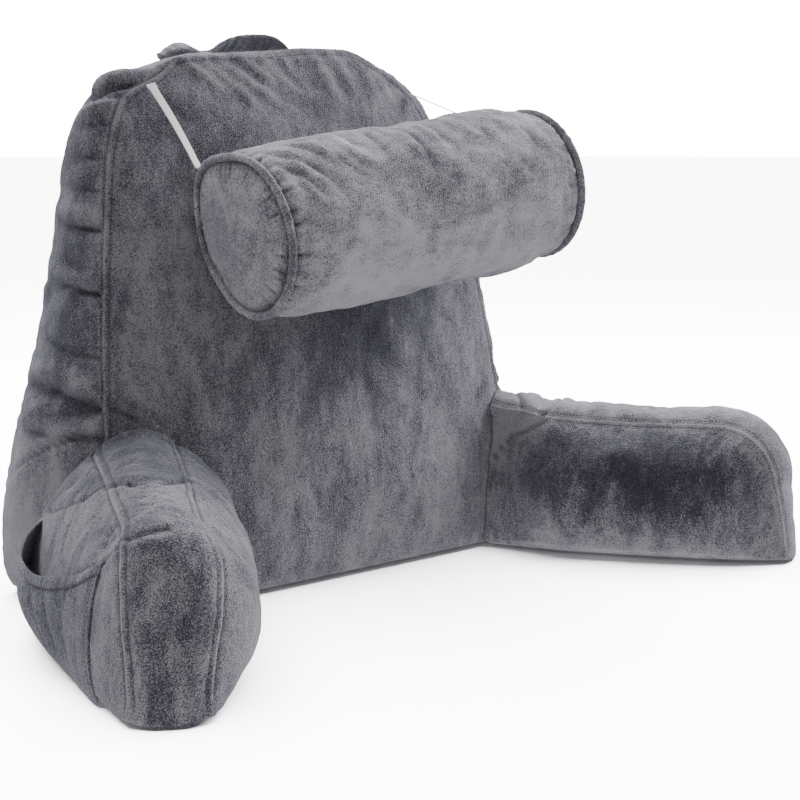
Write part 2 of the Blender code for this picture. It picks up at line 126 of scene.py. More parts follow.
def evenly(points, count):
    """The closed line again, with this many evenly spaced points."""
    runs = run_lengths(points, closed=True)
    at = np.linspace(0, runs[-1], count, endpoint=False)
    return places_on(np.vstack([points, points[:1]]), runs, at)


def unit(vectors):
    return vectors / np.maximum(np.linalg.norm(vectors, axis=-1, keepdims=True), 1e-12)


def tangents(line, reach):
    """Unit directions round a closed line, each read between points this many steps away."""
    return unit(np.roll(line, -reach, axis=0) - np.roll(line, reach, axis=0))


def turns(count):
    """Angles evenly round a circle."""
    return np.arange(count) * 2 * math.pi / count


def bump(x, half_width):
    return np.exp(-((x / half_width) ** 2))


def smooth_step(x, low, high):
    t = np.clip((x - low) / (high - low), 0, 1)
    return t * t * (3 - 2 * t)


def ripple(at, length, seed, waves=7):
    """Uneven waves along a line, about this long, within -1 and 1 or so."""
    draw = np.random.default_rng(seed)
    total = 0.0
    for _ in range(waves):
        wave = length * draw.uniform(0.65, 1.9)
        total = total + np.sin(2 * math.pi * (at / wave + draw.random()))
    return total / math.sqrt(waves)


def lumps(points, size, seed, waves=14):
    """Uneven swells over a surface, about this far apart."""
    draw = np.random.default_rng(seed)
    total = 0.0
    for _ in range(waves):
        way = draw.normal(size=3)
        way /= np.linalg.norm(way) * size * draw.uniform(0.7, 1.6)
        total = total + np.sin(2 * math.pi * (points @ way + draw.random()))
    return total / math.sqrt(waves)


def evened(values, passes, way_passes):
    """A grid of values blurred, across its rings and (wrapping) round them."""
    for _ in range(passes):
        values = values.copy()
        values[1:-1] = (values[:-2] + 2 * values[1:-1] + values[2:]) / 4
    for _ in range(way_passes):
        values = (np.roll(values, 1, axis=1) + 2 * values + np.roll(values, -1, axis=1)) / 4
    return values


def nearest_on(u, v, line):
    """How far each place is from a line, and which share of the line it is nearest to."""
    line = np.array(line, float)
    runs = run_lengths(line)
    nearest = np.full(np.shape(u), 9.0)
    along = np.zeros_like(nearest)
    for start, step, run in zip(line, np.diff(line, axis=0), runs):
        length = np.hypot(*step)
        t = np.clip(((u - start[0]) * step[0] + (v - start[1]) * step[1]) / length**2, 0, 1)
        away = np.hypot(u - start[0] - t * step[0], v - start[1] - t * step[1])
        along = np.where(away < nearest, (run + t * length) / runs[-1], along)
        nearest = np.minimum(away, nearest)
    return nearest, along


BEND_STEPS = 7


def folds(u, v, table):
    """Height of many folds at places (u, v) of a panel.

    Columns, in millimetres: from u, from v, to u, to v, sideways bend in thousandths of the
    fold's length, half width, height. A negative height is a crease with a sharp bottom, a
    positive one a round ridge.
    """
    total = np.zeros_like(u)
    share = np.linspace(0, 1, BEND_STEPS)[:, None]
    for u0, v0, u1, v1, bend, half_width, height in np.array(table) / 1000:
        run = np.array([u1 - u0, v1 - v0])
        aside = np.array([-run[1], run[0]]) * bend
        line = np.array([u0, v0]) + share * run + 4 * share * (1 - share) * aside
        nearest, along = nearest_on(u, v, line)
        taper = np.sin(math.pi * np.clip(along, 0.02, 0.98)) ** 0.8
        ridge = bump(nearest, half_width)
        total += height * taper * (ridge if height > 0 else np.exp(-nearest / (0.7 * half_width)))
    return total


# ---------------------------------------------------------------- shells
NEAR_SEAM = (0.0, 0.0012, 0.0026, 0.0042, 0.0056, 0.0070, 0.0084, 0.0100, 0.0122, 0.0152)
BAND = 0.0070  # from a seam to the line of topstitching beside it
STITCH_DENT = 0.0011  # half width of the dent along a line of stitches
NORMAL_PASSES = 3
CLOSING_RINGS = 6
LEAST_SQUARE = 0.6  # how square to the seam a line to the panel's middle counts at least
FOLD_SHOWS = 0.0008  # a lower fold gets no painted shade or highlight
STREAKED = np.array([1.0, 1.0, 0.35])  # the patches of painted light and shade end in streaks that run upwards


def normals_of(points):
    """Unit normals of a grid of rings."""
    round_way = np.roll(points, -1, axis=1) - np.roll(points, 1, axis=1)
    return unit(np.cross(round_way, np.gradient(points, axis=0)))


def towards(outline, centre, distance):
    """The outline moved in by a distance, along lines to its centre."""
    reach = np.linalg.norm(centre - outline, axis=1)
    way, tangent = unit(centre - outline), tangents(outline, 1)
    square = np.abs(way[:, 0] * tangent[:, 1] - way[:, 1] * tangent[:, 0])
    move = distance / np.clip(square, LEAST_SQUARE, 1.0)
    return outline + way * np.minimum(move, reach)[:, None]


def panel_rings(outline, centre, count):
    """(flat ring, distance in from the seam) from the seam to the middle of a panel."""
    rings = [(towards(outline, centre, near), near) for near in NEAR_SEAM]
    last, near = rings[-1]
    for k in range(1, count + 1):
        scale = (1 - k / (count + 0.35)) ** 0.94
        ring = centre + scale * (last - centre)
        rings.append((ring, near + (1 - scale) * np.linalg.norm(last - centre, axis=1)))
    return rings


def strip_shares(width, count):
    """(share, distance from the first seam, distance from the second) over a strip."""
    rows = [(near / width, near * np.ones_like(width)) for near in NEAR_SEAM]
    edge = NEAR_SEAM[-1]
    for k in range(1, count):
        off = edge + (width - 2 * edge) * k / count
        rows.append((off / width, off))
    rows += [(1 - near / width, width - near) for near in reversed(NEAR_SEAM)]
    return [(share, off, width - off) for share, off in rows]


class RingShell:
    """Rings of points, and facts about each point that its folds and stitches go by."""

    def __init__(self, outward=1.0):
        self.outward = outward  # -1 where the rings run the other way round
        self.rings = []
        self.facts = []

    def add(self, ring, **facts):
        self.rings.append(ring)
        self.facts.append(facts)

    def close(self):
        self.points = np.stack(self.rings)
        shape = self.points.shape[:2]
        self.fact = {
            key: np.stack([np.broadcast_to(row[key], shape[1]) for row in self.facts]).astype(float)
            for key in self.facts[0]
        }
        self.near = np.minimum(self.fact["off"], self.fact.get("far", 1.0))  # to any seam
        self.marks = {key: np.zeros(shape) for key in ("pressed_and_crease_shade", "ridge_highlight", "pale_pile_and_light", "deep_pile_and_shade")}

    def piece(self, name):
        return mesh_of(name, self.points, marks=self.marks)

    def mark(self, here=..., **amounts):
        for key, amount in amounts.items():
            self.marks[key][here] += amount

    def fold(self, height, part, table, margin=0.02, far_side=1.0):
        """Adds a table of folds to the heights of one part, fading towards its seams."""
        here = self.fact["part"] == part
        side = np.where(self.points[..., 0][here] < 0, 1.0, far_side)
        lift = folds(self.fact["u"][here], self.fact["v"][here], table) * side
        height[here] += lift * smooth_step(self.near[here], 0.0, margin)
        # Painted shade in the creases and painted highlights on the ridges.
        self.mark(
            here,
            pressed_and_crease_shade=0.75 * smooth_step(-lift, FOLD_SHOWS, 0.0045),
            ridge_highlight=1.3 * smooth_step(lift, FOLD_SHOWS, 0.0040),
        )

    def cross_seams(self, height, table):
        """Adds seams that cross a panel. Columns, in millimetres: part, depth, line."""
        for part, depth, line in table:
            here = self.fact["part"] == part
            line = np.array(line) / 1000
            away, along = nearest_on(self.fact["u"][here], self.fact["v"][here], line)
            fade = smooth_step(1 - along, 0.0, 0.12)
            lips = 0.5 * bump(away - 0.006, 0.004)
            height[here] += depth / 1000 * fade * (lips - bump(away, 0.0017))
            # Painted shade in the seam's groove and painted highlights on its lips.
            self.mark(
                here,
                pressed_and_crease_shade=0.7 * fade * bump(away, 0.0014),
                ridge_highlight=0.8 * fade * bump(away - 0.0036, 0.0018),
            )

    def stroke(self, table, to_world=np.array):
        """Soft patches of painted light (above 0) or painted shade.

        Columns, in millimetres: three for the place, reach, amount in thousandths.
        """
        streaks = np.maximum(0.9 + 0.3 * lumps(self.points * STREAKED, 0.022, 5), 0.1)
        for *place, reach, amount in np.array(table) / 1000:
            away = np.linalg.norm(self.points - to_world(place), axis=2)
            key = "pale_pile_and_light" if amount > 0 else "deep_pile_and_shade"
            self.mark(**{key: abs(amount) * bump(away, reach) * streaks})

    def settle(self, height):
        """Pushes the points out, but not where the piece stands on the floor."""
        up = smooth_step(self.points[..., 2], 0.004, 0.03)
        for key in ("pressed_and_crease_shade", "ridge_highlight"):
            self.marks[key] *= up
        self.push(height * up)

    def push(self, height):
        """Moves each point out by a height, evened out where the rings close in."""
        normal = normals_of(self.points)
        for _ in range(NORMAL_PASSES):
            normal = normal + (np.roll(normal, 1, axis=1) + np.roll(normal, -1, axis=1)) / 2
            normal[1:-1] = (normal[:-2] + 2 * normal[1:-1] + normal[2:]) / 4
        normal = unit(normal)
        for row, share in enumerate(np.linspace(1, 0, CLOSING_RINGS + 1)[:-1]):
            for ring in (row, -1 - row):
                height[ring] += share * (height[ring].mean() - height[ring])
                normal[ring] += share * (normal[ring].mean(axis=0) - normal[ring])
        self.points = self.points + self.outward * normal * height[..., None]


def tube_faces(rows, count, start=0, closed_rows=False):
    """Faces between rings of points that follow each other in a mesh."""
    faces = []
    for row in range(rows if closed_rows else rows - 1):
        low = start + row * count
        high = start + (row + 1) % rows * count
        for k in range(count):
            after = (k + 1) % count
            faces.append((low + k, low + after, high + after, high + k))
    return faces


def new_piece(name, points, faces):
    mesh = bpy.data.meshes.new(name)
    mesh.from_pydata([tuple(point) for point in points], [], faces)
    mesh.shade_smooth()
    piece = bpy.data.objects.new(name, mesh)
    bpy.context.scene.collection.objects.link(piece)
    return piece


def mesh_of(name, points, closed_rows=False, marks=None):
    """A closed mesh through a grid of rings; marks are values at each point for its finish, painted
    shade and highlights among them.
    """
    rows, count = points.shape[:2]
    where = points.reshape(-1, 3)
    faces = tube_faces(rows, count, closed_rows=closed_rows)
    if not closed_rows:
        where = np.vstack([where, points[0].mean(axis=0), points[-1].mean(axis=0)])
        first, last = rows * count, rows * count + 1
        top = (rows - 1) * count
        for k in range(count):
            after = (k + 1) % count
            faces.append((first, after, k))
            faces.append((last, top + k, top + after))
    piece = new_piece(name, where, faces)
    for key, values in (marks or {}).items():
        values = np.clip(values, 0, 1).reshape(-1)
        values = np.concatenate([values, np.zeros(len(where) - len(values))])
        mark = piece.data.attributes.new(key, "FLOAT", "POINT")
        mark.data.foreach_set("value", values.astype(np.float32))
    shape = bmesh.new()
    shape.from_mesh(piece.data)
    bmesh.ops.recalc_face_normals(shape, faces=shape.faces)
    shape.to_mesh(piece.data)
    shape.free()
    return piece


def topstitched(off, press=1.0):
    """Height across a seam whose allowance is stitched down beside it, off metres from it."""
    groove = -0.0016 * bump(off, STITCH_DENT) - 0.0009 * press * bump(off - BAND, STITCH_DENT)
    groove = groove + 0.0007 * bump(off - 0.0024, 0.0013)
    flat = -0.0010 * press * (1 - smooth_step(off, BAND, BAND + 0.007))
    return groove + flat


def seam_marks(shell, off, banded, depth=1.0):
    """Painted shade along a seam and its stitches, where pile is also pressed down, and painted
    highlights beside it.
    """
    stitched = banded * bump(off - BAND, STITCH_DENT)
    shell.mark(
        pressed_and_crease_shade=(0.9 - 0.4 * banded) * depth * bump(off, 0.0010) + 0.55 * stitched,
        ridge_highlight=bump(off - 0.0026, 0.0014) + 0.4 * bump(off - 0.0105, 0.003),
        pale_pile_and_light=0.8 * banded * bump(off - 0.0018, 0.0011),
    )


def plain_side(off):
    """Height on the side of a seam that puffs up straight from it."""
    return -0.0022 * bump(off, 0.0022)


FLOOR_LIFT = 0.007
FLOOR_ROUND = 0.022


def round_under(shell):
    """Lifts the seams that run along the floor, as filled cloth rounds under at its edge."""
    low = 1 - smooth_step(shell.points[..., 2], 0.0, 0.03)
    shell.points[..., 2] += FLOOR_LIFT * low * (1 - smooth_step(shell.near, 0.0, FLOOR_ROUND))


def boxed_shell(outward, seams, middle, counts, place, strip, width):
    """A shell of a panel, the strip round it and the panel behind it: parts 0, 1 and 2.

    place gives the points of a panel's flat ring, and strip the points, u and v of a ring of
    the strip, which is as wide as width says.
    """
    shell = RingShell(outward)
    runs = run_lengths(seams[0], closed=True)[:-1]

    def add(part, ring, off, far):
        facts = {"part": part, "off": off, "far": far, "run": runs}
        shell.add(place(part, *ring.T), u=ring[:, 0], v=ring[:, 1], **facts)

    for ring, off in reversed(panel_rings(seams[0], middle, counts[0])):
        add(0, ring, off, 1.0)
    for share, off, far in strip_shares(width, counts[1])[1:-1]:
        ring, u, v = strip(share, off)
        shell.add(ring, part=1, off=off, far=far, run=runs, u=u, v=v)
    for ring, far in panel_rings(seams[1], middle, counts[2]):
        add(2, ring, 1.0, far)
    shell.close()
    return shell


def gathered(shell, panels, strip, seed=0):
    """Gathers along the seams of the panels and of the strip: length, depth, reach, seed."""
    on_strip = shell.fact["part"] == 1
    total = 0.0
    for (*sizes, own), here in ((panels, ~on_strip), (strip, on_strip)):
        total = total + pucker(shell.fact["run"], shell.near, *sizes, seed + own) * here
    return total


def swells(shell, ease, table, first=0):
    """Unevenness of the filling, away from the seams. Columns: height, size, seed."""
    total = sum(height * lumps(shell.points, size, first + seed) for height, size, seed in table)
    return total * smooth_step(shell.near, 0.0, ease)


def pucker(along, off, length, depth, reach, seed):
    """Gathers that start at a seam and die out over the panel."""
    wave = ripple(along, length, seed) * (0.55 + 0.45 * ripple(along, 7 * length, seed + 1))
    return depth * wave * np.exp(-off / reach) * (1 - np.exp(-off / 0.003))


# ---------------------------------------------------------------- cloth
SEAM_HOLD = 0.005
FLOOR_HOLD = 0.003
CLOTH_FRAMES = 20
CLOTH_SETTINGS = {
    "vertex_group_mass": "held",
    "use_pressure": True,
    "uniform_pressure_force": 4.0,
    "bending_stiffness": 0.4,
    "quality": 4,
}
NEIGHBOURS = 4
NEIGHBOUR_SOFT = 0.0005  # keeps the weight of a point that lies on another finite
CREASE_BLUR = (1, 1)
SWELL_BLUR = (40, 160)
MOST_MOVE = 0.0055


def tree_of(points):
    tree = KDTree(len(points))
    for k, point in enumerate(points):
        tree.insert(point, k)
    tree.balance()
    return tree


def points_of(mesh):
    points = np.empty(len(mesh.vertices) * 3)
    mesh.vertices.foreach_get("co", points)
    return points.reshape(-1, 3)


def applied(piece):
    """The mesh that a piece's modifiers make; they are then taken off it."""
    graph = bpy.context.evaluated_depsgraph_get()
    mesh = bpy.data.meshes.new_from_object(piece.evaluated_get(graph))
    piece.modifiers.clear()
    return mesh


def wrinkles(shell, voxel, growth=0.02):
    """Heights of the creases that cloth cut too large takes once filled, held at its seams.

    A copy of the shell is remeshed evenly, its cloth is grown and blown up, and how far each
    point of the shell's own grid moves is read from it. The slow swell is taken out, because
    the shell has its crown already.
    """
    scene = bpy.context.scene
    on_seam = shell.near.max(axis=1) < 1e-6
    seams = np.concatenate(shell.points[on_seam])
    blank = shell.piece("blank")
    remesh = blank.modifiers.new("even", "REMESH")
    remesh.mode = "VOXEL"
    remesh.voxel_size = voxel
    blank.data = applied(blank)
    rest = points_of(blank.data)
    seam_tree = tree_of(seams)
    held = [
        k
        for k, point in enumerate(rest)
        if point[2] < FLOOR_HOLD or seam_tree.find(point)[2] < SEAM_HOLD
    ]
    blank.vertex_groups.new(name="held").add(held, 1.0, "REPLACE")
    cloth = blank.modifiers.new("cloth", "CLOTH")
    cloth.point_cache.frame_end = CLOTH_FRAMES
    for key, value in CLOTH_SETTINGS.items():
        setattr(cloth.settings, key, value)
    cloth.settings.shrink_min = -growth
    cloth.settings.effector_weights.gravity = 0.0
    for frame in range(1, CLOTH_FRAMES + 1):
        scene.frame_set(frame)
    moved = points_of(applied(blank)) - rest
    scene.frame_set(1)
    bpy.data.objects.remove(blank)
    tree = tree_of(rest)
    found = [tree.find_n(point, NEIGHBOURS) for point in shell.points.reshape(-1, 3)]
    index = np.array([[hit[1] for hit in hits] for hits in found])
    away = np.array([[hit[2] for hit in hits] for hits in found])
    weight = 1 / (away + NEIGHBOUR_SOFT) ** 2
    weight /= weight.sum(axis=1, keepdims=True)
    move = (moved[index] * weight[..., None]).sum(axis=1).reshape(shell.points.shape)
    height = (move * shell.outward * normals_of(shell.points)).sum(axis=2)
    height = evened(height, *CREASE_BLUR)
    height -= evened(height, *SWELL_BLUR)
    return MOST_MOVE * np.tanh(height / MOST_MOVE)


STITCH_PITCH = 0.0038
STITCH_LENGTH = 0.0024
STITCH_RADIUS = 0.00042
STITCH_RINGS = ((-1.0, 0.35), (-0.55, 1.0), (0.55, 1.0), (1.0, 0.35))  # (share, radius)
STITCH_SIDES = 5
STITCH_LOWEST = 0.014


class Thread:
    """Stitches gathered from many seams into one mesh."""

    def __init__(self):
        self.points = []
        self.faces = []

    def sew(self, line, normals, closed=False):
        """Stitches along a line of points, lying on the cloth."""
        if closed:
            line, normals = np.vstack([line, line[:1]]), np.vstack([normals, normals[:1]])
        runs = run_lengths(line)
        count = int(runs[-1] / STITCH_PITCH)
        at = (np.arange(count) + 0.5) * STITCH_PITCH
        start, end = (places_on(line, runs, at + side * STITCH_LENGTH / 2) for side in (-1, 1))
        up = unit(places_on(normals, runs, at))
        way = end - start
        middle = (start + end) / 2 + up * STITCH_RADIUS * 0.5
        side = unit(np.cross(up, way))
        for k in range(count):
            first = len(self.points)
            for share, radius in STITCH_RINGS:
                centre = middle[k] + way[k] / 2 * share - up[k] * STITCH_RADIUS * abs(share)
                for turn in turns(STITCH_SIDES):
                    spoke = math.cos(turn) * side[k] + math.sin(turn) * up[k]
                    self.points.append(centre + radius * STITCH_RADIUS * spoke)
            self.faces += tube_faces(len(STITCH_RINGS), STITCH_SIDES, first)
            self.faces.append(tuple(range(first, first + STITCH_SIDES))[::-1])
            self.faces.append(tuple(range(len(self.points) - STITCH_SIDES, len(self.points))))

    def sew_ring(self, shell, part, key, distance, keep):
        """Stitches along the ring of a shell that lies at a distance from a seam."""
        found = np.abs(shell.fact[key].mean(axis=1) - distance) < 0.0002
        found &= (shell.fact["part"] == part).all(axis=1)
        normals = normals_of(shell.points) * shell.outward
        for line, up in zip(shell.points[found], normals[found]):
            kept = keep(line)
            if kept.all():
                self.sew(line, up, closed=True)
                continue
            start = int(np.argmax(kept & ~np.roll(kept, 1)))
            order = (np.arange(len(kept)) + start) % len(kept)
            order = order[: int(np.argmin(kept[order]))]
            self.sew(line[order], up[order])

    def sew_across(self, shell, part, line, keep):
        """Stitches along a seam that crosses a panel."""
        here = shell.fact["part"] == part
        flat = np.stack([shell.fact["u"][here], shell.fact["v"][here]], axis=1)
        both = [shell.points[here], (normals_of(shell.points) * shell.outward)[here]]
        line = np.array(line) / 1000
        runs = run_lengths(line)
        places = places_on(line, runs, np.arange(0.0, runs[-1], 0.0015))
        away = np.linalg.norm(places[:, None] - flat[None], axis=2)
        index = np.argsort(away, axis=1)[:, :NEIGHBOURS]
        weight = 1 / (np.take_along_axis(away, index, axis=1) + NEIGHBOUR_SOFT)
        weight /= weight.sum(axis=1, keepdims=True)
        points, normals = ((values[index] * weight[..., None]).sum(axis=1) for values in both)
        for _ in range(6):
            points[1:-1] = (points[:-2] + 2 * points[1:-1] + points[2:]) / 4
        kept = keep(points)
        self.sew(points[kept], normals[kept])


# ---------------------------------------------------------------- back
# Columns, in millimetres: z, the front seams (left x, right x, y), the rear seams (left x,
# right x, y), and how far the front, side and rear panels are crowned.
BACK_ROWS = np.array([
    (0, -250, 248, -88, -290, 284, 90, 3, 10, 4),
    (30, -262, 257, -87, -296, 290, 94, 12, 18, 12),
    (80, -268, 258, -81, -296, 288, 92, 21, 23, 16),
    (140, -270, 257, -71, -287, 280, 88, 26, 24, 18),
    (190, -269, 253, -61, -275, 268, 84, 29, 23, 19),
    (260, -262, 245, -50, -256, 248, 78, 31, 21, 20),
    (330, -252, 236, -38, -242, 232, 73, 31, 21, 20),
    (400, -240, 220, -26, -228, 214, 68, 28, 21, 18),
    (450, -229, 202, -17, -216, 196, 64, 23, 21, 15),
    (485, -214, 185, -9, -204, 179, 60, 18, 19, 12),
    (503, -200, 173, -5, -192, 167, 58, 14, 14, 9),
    (512, -181, 162, -3, -176, 156, 57, 11, 10, 8),
    (522, -158, 148, -2, -154, 142, 55, 8, 8, 6),
    (532, -145, 130, 0, -138, 124, 44, 5, 6, 4),
    (539, -132, 116, 1, -126, 111, 25, 4, 4, 3),
    (543, -90, 108, 3, -86, 103, 18, 3, 3, 2),
    (547, -20, 99, 4, -18, 94, 14, 1, 1, 1),
    (551, 22, 86, 6, 24, 82, 12, 0, 0, 0),
]) / 1000
(FRONT_LEFT, FRONT_RIGHT, FRONT_Y, REAR_LEFT, REAR_RIGHT, REAR_Y) = range(1, 7)
(FRONT_CROWN, SIDE_CROWN, REAR_CROWN) = range(7, 10)
BACK_TOP = 0.551
BACK_SHOULDER = 0.522  # where the rear seam leaves the sides and runs across
REAR_ARCH = 0.010
BACK_MIDDLE = np.array([-0.004, 0.240])
BACK_POINTS = 520
BACK_RINGS = (56, 26, 34)  # over the front, the strip and the rear
PANEL_FULLNESS = 2.6

# Folds at x and z on the front, and at y and z on the sides.
FRONT_FOLDS = (
    (-133, 541, -78, 499, -50, 6.5, 3.6), (-111, 540, -48, 480, 0, 6, 3.2),
    (-92, 541, -8, 482, -30, 6.5, 3.6), (-66, 543, -10, 499, 20, 5.5, 3),
    (-40, 544, 18, 493, -20, 6, 3.2), (-12, 543, 26, 486, 30, 6, 2.8),
    (26, 550, 58, 484, 60, 9, 2.6), (61, 549, 76, 500, 50, 8, 3), (92, 543, 112, 492, 40, 8, 2.6),
    (112, 532, 134, 486, 50, 8, 3), (-122, 538, -66, 492, -20, 4, -2.2),
    (-79, 541, -20, 494, 0, 4, -2), (-26, 543, 16, 500, 0, 4, -1.8),
    (-240, 372.5, -196, 371, 40, 3, -2.6), (-252, 303.5, -208, 302, 40, 3, -2.6),
    (-240, 379, -214, 380, 0, 6, 1.4), (-252, 310, -224, 311, 0, 6, 1.4),
    (-266, 206, -226, 182, 60, 4.5, -4.8), (-262, 215, -205, 176, 100, 4, -3.6),
    (-262, 224, -212, 196, 50, 7, 3), (-174, 506, -140, 470, 50, 8, -3),
    (-196, 492, -150, 486, 0, 7, -2), (236, 196, 196, 160, 0, 6, -4),
)
SIDE_FOLDS = (
    (80, 216, -90, 190, -80, 8.5, -13), (70, 230, -80, 216, -80, 11, 7),
    (50, 182, -80, 236, -30, 6.5, 5), (20, 162, -90, 196, -40, 7, 5.5),
    (60, 176, -90, 174, 0, 6, -5.5), (30, 196, -80, 208, 40, 5, -5),
    (36, 378, -80, 368, 0, 4.2, -9.5), (50, 392, -60, 384, 0, 11, 4.5),
    (30, 346, -64, 335, 30, 4, -4.5), (0, 356, -70, 352, 30, 3.6, -3),
    (36, 322, -100, 296, -30, 4.2, -10), (50, 336, -80, 314, 0, 11, 4.5),
    (50, 274, -90, 250, 40, 5, -5), (0, 262, -80, 268, 40, 3.6, -3), (36, 440, -48, 441, 0, 5, -5),
    (40, 412, -50, 408, 0, 5, -3.6), (48, 492, -20, 502, 0, 5.5, -6),
    (40, 470, -34, 474, 0, 5.5, -4.5), (52, 500, -10, 515, 60, 5.5, -12.5),
    (52, 512, -2, 526, 60, 7.5, 7), (34, 482, -6, 496, 50, 8, 3.4),
)
BACK_CROSS_SEAMS = (
    (1, 2.2, (
        (-66, 177), (-51, 179), (-39, 178), (-9, 165), (18, 152), (39, 141), (60, 128), (78, 110),
    )),
)
# Painted light low on the left side and the front, as from the floor, and at the front's left;
# painted shade along the left side's front seam and near the top; a painted shadow under the roll
# on the front panel.
BACK_PAINTED_LIGHT = (
    (-300, 10, 105, 60, 1000), (-310, 60, 80, 60, 1000), (-282, -45, 150, 28, -800),
    (-215, 20, 440, 55, -600), (-240, 12, 370, 50, -900), (-255, 8, 300, 50, -950),
    (-268, 6, 235, 45, -900), (-285, 0, 180, 40, -500), (-180, 30, 500, 45, -400),
    (30, -80, 280, 85, -1000), (120, -80, 290, 60, -900), (-180, -70, 340, 80, 700),
    (-60, -100, 130, 60, 350),
)
BACK_PRESS = 0.65  # how firmly the front seam's allowance is stitched down
TOP_SEAM_EASED = 0.8  # how far the full front panel hides the seam along the top
TOP_SEAM_AT = (0.520, 0.542)  # the heights between which that begins and is reached
BACK_VOXEL = 0.0062
BACK_CREASED = (0.55, 1.0, 0.8)  # how much of the cloth's creases the front, strip and rear keep
BACK_GATHERS = ((0.014, 0.0008, 0.012, 11), (0.012, 0.0011, 0.014, 15))
BACK_SWELLS = ((0.0018, 0.11, 21), (0.0006, 0.035, 22))
FRONT_MARGIN = 0.005  # over which the folds fade towards the seams
SIDE_MARGIN = 0.003
FAR_SIDE = 0.15  # the right side's share of the folds drawn for the left one


def back_at(column, z):
    return smooth_table(BACK_ROWS[:, (0, column)], z)


def crowned(share):
    return 1 - np.abs(2 * np.clip(share, 0, 1) - 1) ** PANEL_FULLNESS


def panel_y(x, z, left_column, right_column, y_column, crown_column, outward):
    left, right = back_at(left_column, z), back_at(right_column, z)
    share = (x - left) / np.maximum(right - left, 0.02)
    return back_at(y_column, z) + outward * back_at(crown_column, z) * crowned(share)


def front_y(x, z):
    return panel_y(x, z, FRONT_LEFT, FRONT_RIGHT, FRONT_Y, FRONT_CROWN, -1)


def rear_y(x, z):
    return panel_y(x, z, REAR_LEFT, REAR_RIGHT, REAR_Y, REAR_CROWN, 1)


def back_outlines():
    """Front and rear seams as matched (x, z) loops, from the left foot over the top."""
    rise = np.linspace(0, BACK_TOP, 900)
    left = np.stack([back_at(FRONT_LEFT, rise), rise], axis=1)
    right = np.stack([back_at(FRONT_RIGHT, rise), rise], axis=1)[::-1]
    floor_share = np.linspace(0, 1, 240)[1:-1, None]
    floor = right[-1] + floor_share * (left[0] - right[-1])
    front = np.vstack([left, right, floor])
    runs = run_lengths(front, closed=True)[:-1]
    over_shoulder = front[:, 1] > BACK_SHOULDER
    start, end = runs[over_shoulder][0], runs[over_shoulder][-1]
    share = np.clip((runs - start) / (end - start), 0, 1)
    level = front[:, 1]
    rear_x = np.where(
        np.arange(len(front)) < len(left), back_at(REAR_LEFT, level), back_at(REAR_RIGHT, level)
    )
    corner = back_at(REAR_LEFT, BACK_SHOULDER), back_at(REAR_RIGHT, BACK_SHOULDER)
    rear_x = np.where(over_shoulder, corner[0] + share * (corner[1] - corner[0]), rear_x)
    rear_z = np.where(over_shoulder, BACK_SHOULDER + REAR_ARCH * np.sin(math.pi * share), level)
    feet = back_at(REAR_LEFT, 0.0), back_at(REAR_RIGHT, 0.0)
    rear_x[len(left) + len(right) :] = feet[1] + floor_share[:, 0] * (feet[0] - feet[1])
    both = evenly(np.column_stack([front, rear_x, rear_z]), BACK_POINTS)
    return both[:, :2], both[:, 2:]


def soften(line, passes):
    """A closed line with its kinks rounded a little; what lies on the floor stays there."""
    floor = line[:, 1] < 1e-6
    for _ in range(passes):
        line = (np.roll(line, 1, axis=0) + 2 * line + np.roll(line, -1, axis=0)) / 4
    line[floor, 1] = 0.0
    return line


def back_shell():
    front, rear = (soften(seam, 6) for seam in back_outlines())

    def place(part, x, z):
        return np.stack([x, rear_y(x, z) if part else front_y(x, z), z], axis=1)

    near, far = place(0, *front.T), place(2, *rear.T)
    tangent = tangents(front, 4)
    out = np.stack([-tangent[:, 1], np.zeros(len(front)), tangent[:, 0]], axis=1)
    out[:, 2] *= smooth_step(front[:, 1], 0.02, 0.06)
    on_floor = front[:, 1] < 1e-6
    crown = back_at(SIDE_CROWN, front[:, 1]) * ~on_floor

    def strip(share, off):
        ring = near + share[:, None] * (far - near) + out * (crown * crowned(share))[:, None]
        return ring, ring[:, 1], ring[:, 2]

    width = np.linalg.norm(far - near, axis=1)
    return boxed_shell(1.0, (front, rear), BACK_MIDDLE, BACK_RINGS, place, strip, width)


def dress_back(shell):
    part, off, far = (shell.fact[key] for key in ("part", "off", "far"))
    height = np.choose(part.astype(int), BACK_CREASED) * wrinkles(shell, BACK_VOXEL)
    kept = 1 - TOP_SEAM_EASED * smooth_step(shell.points[..., 2], *TOP_SEAM_AT)
    seam_marks(shell, off, BACK_PRESS * (part == 0), BACK_PRESS)
    seam_marks(shell, far, part == 2)
    for key in ("pressed_and_crease_shade", "ridge_highlight", "pale_pile_and_light"):
        shell.marks[key] *= kept
    shell.fold(height, 0, FRONT_FOLDS, FRONT_MARGIN)
    shell.fold(height, 1, SIDE_FOLDS, SIDE_MARGIN, FAR_SIDE)
    shell.cross_seams(height, BACK_CROSS_SEAMS)
    shell.stroke(BACK_PAINTED_LIGHT)
    height += np.where(part == 0, topstitched(off, BACK_PRESS), 0.0) * kept
    height += np.where(part == 1, plain_side(off) + plain_side(far), 0.0) * kept
    height += np.where(part == 2, topstitched(far), 0.0)
    height += gathered(shell, *BACK_GATHERS) + swells(shell, 0.05, BACK_SWELLS)
    shell.settle(height)


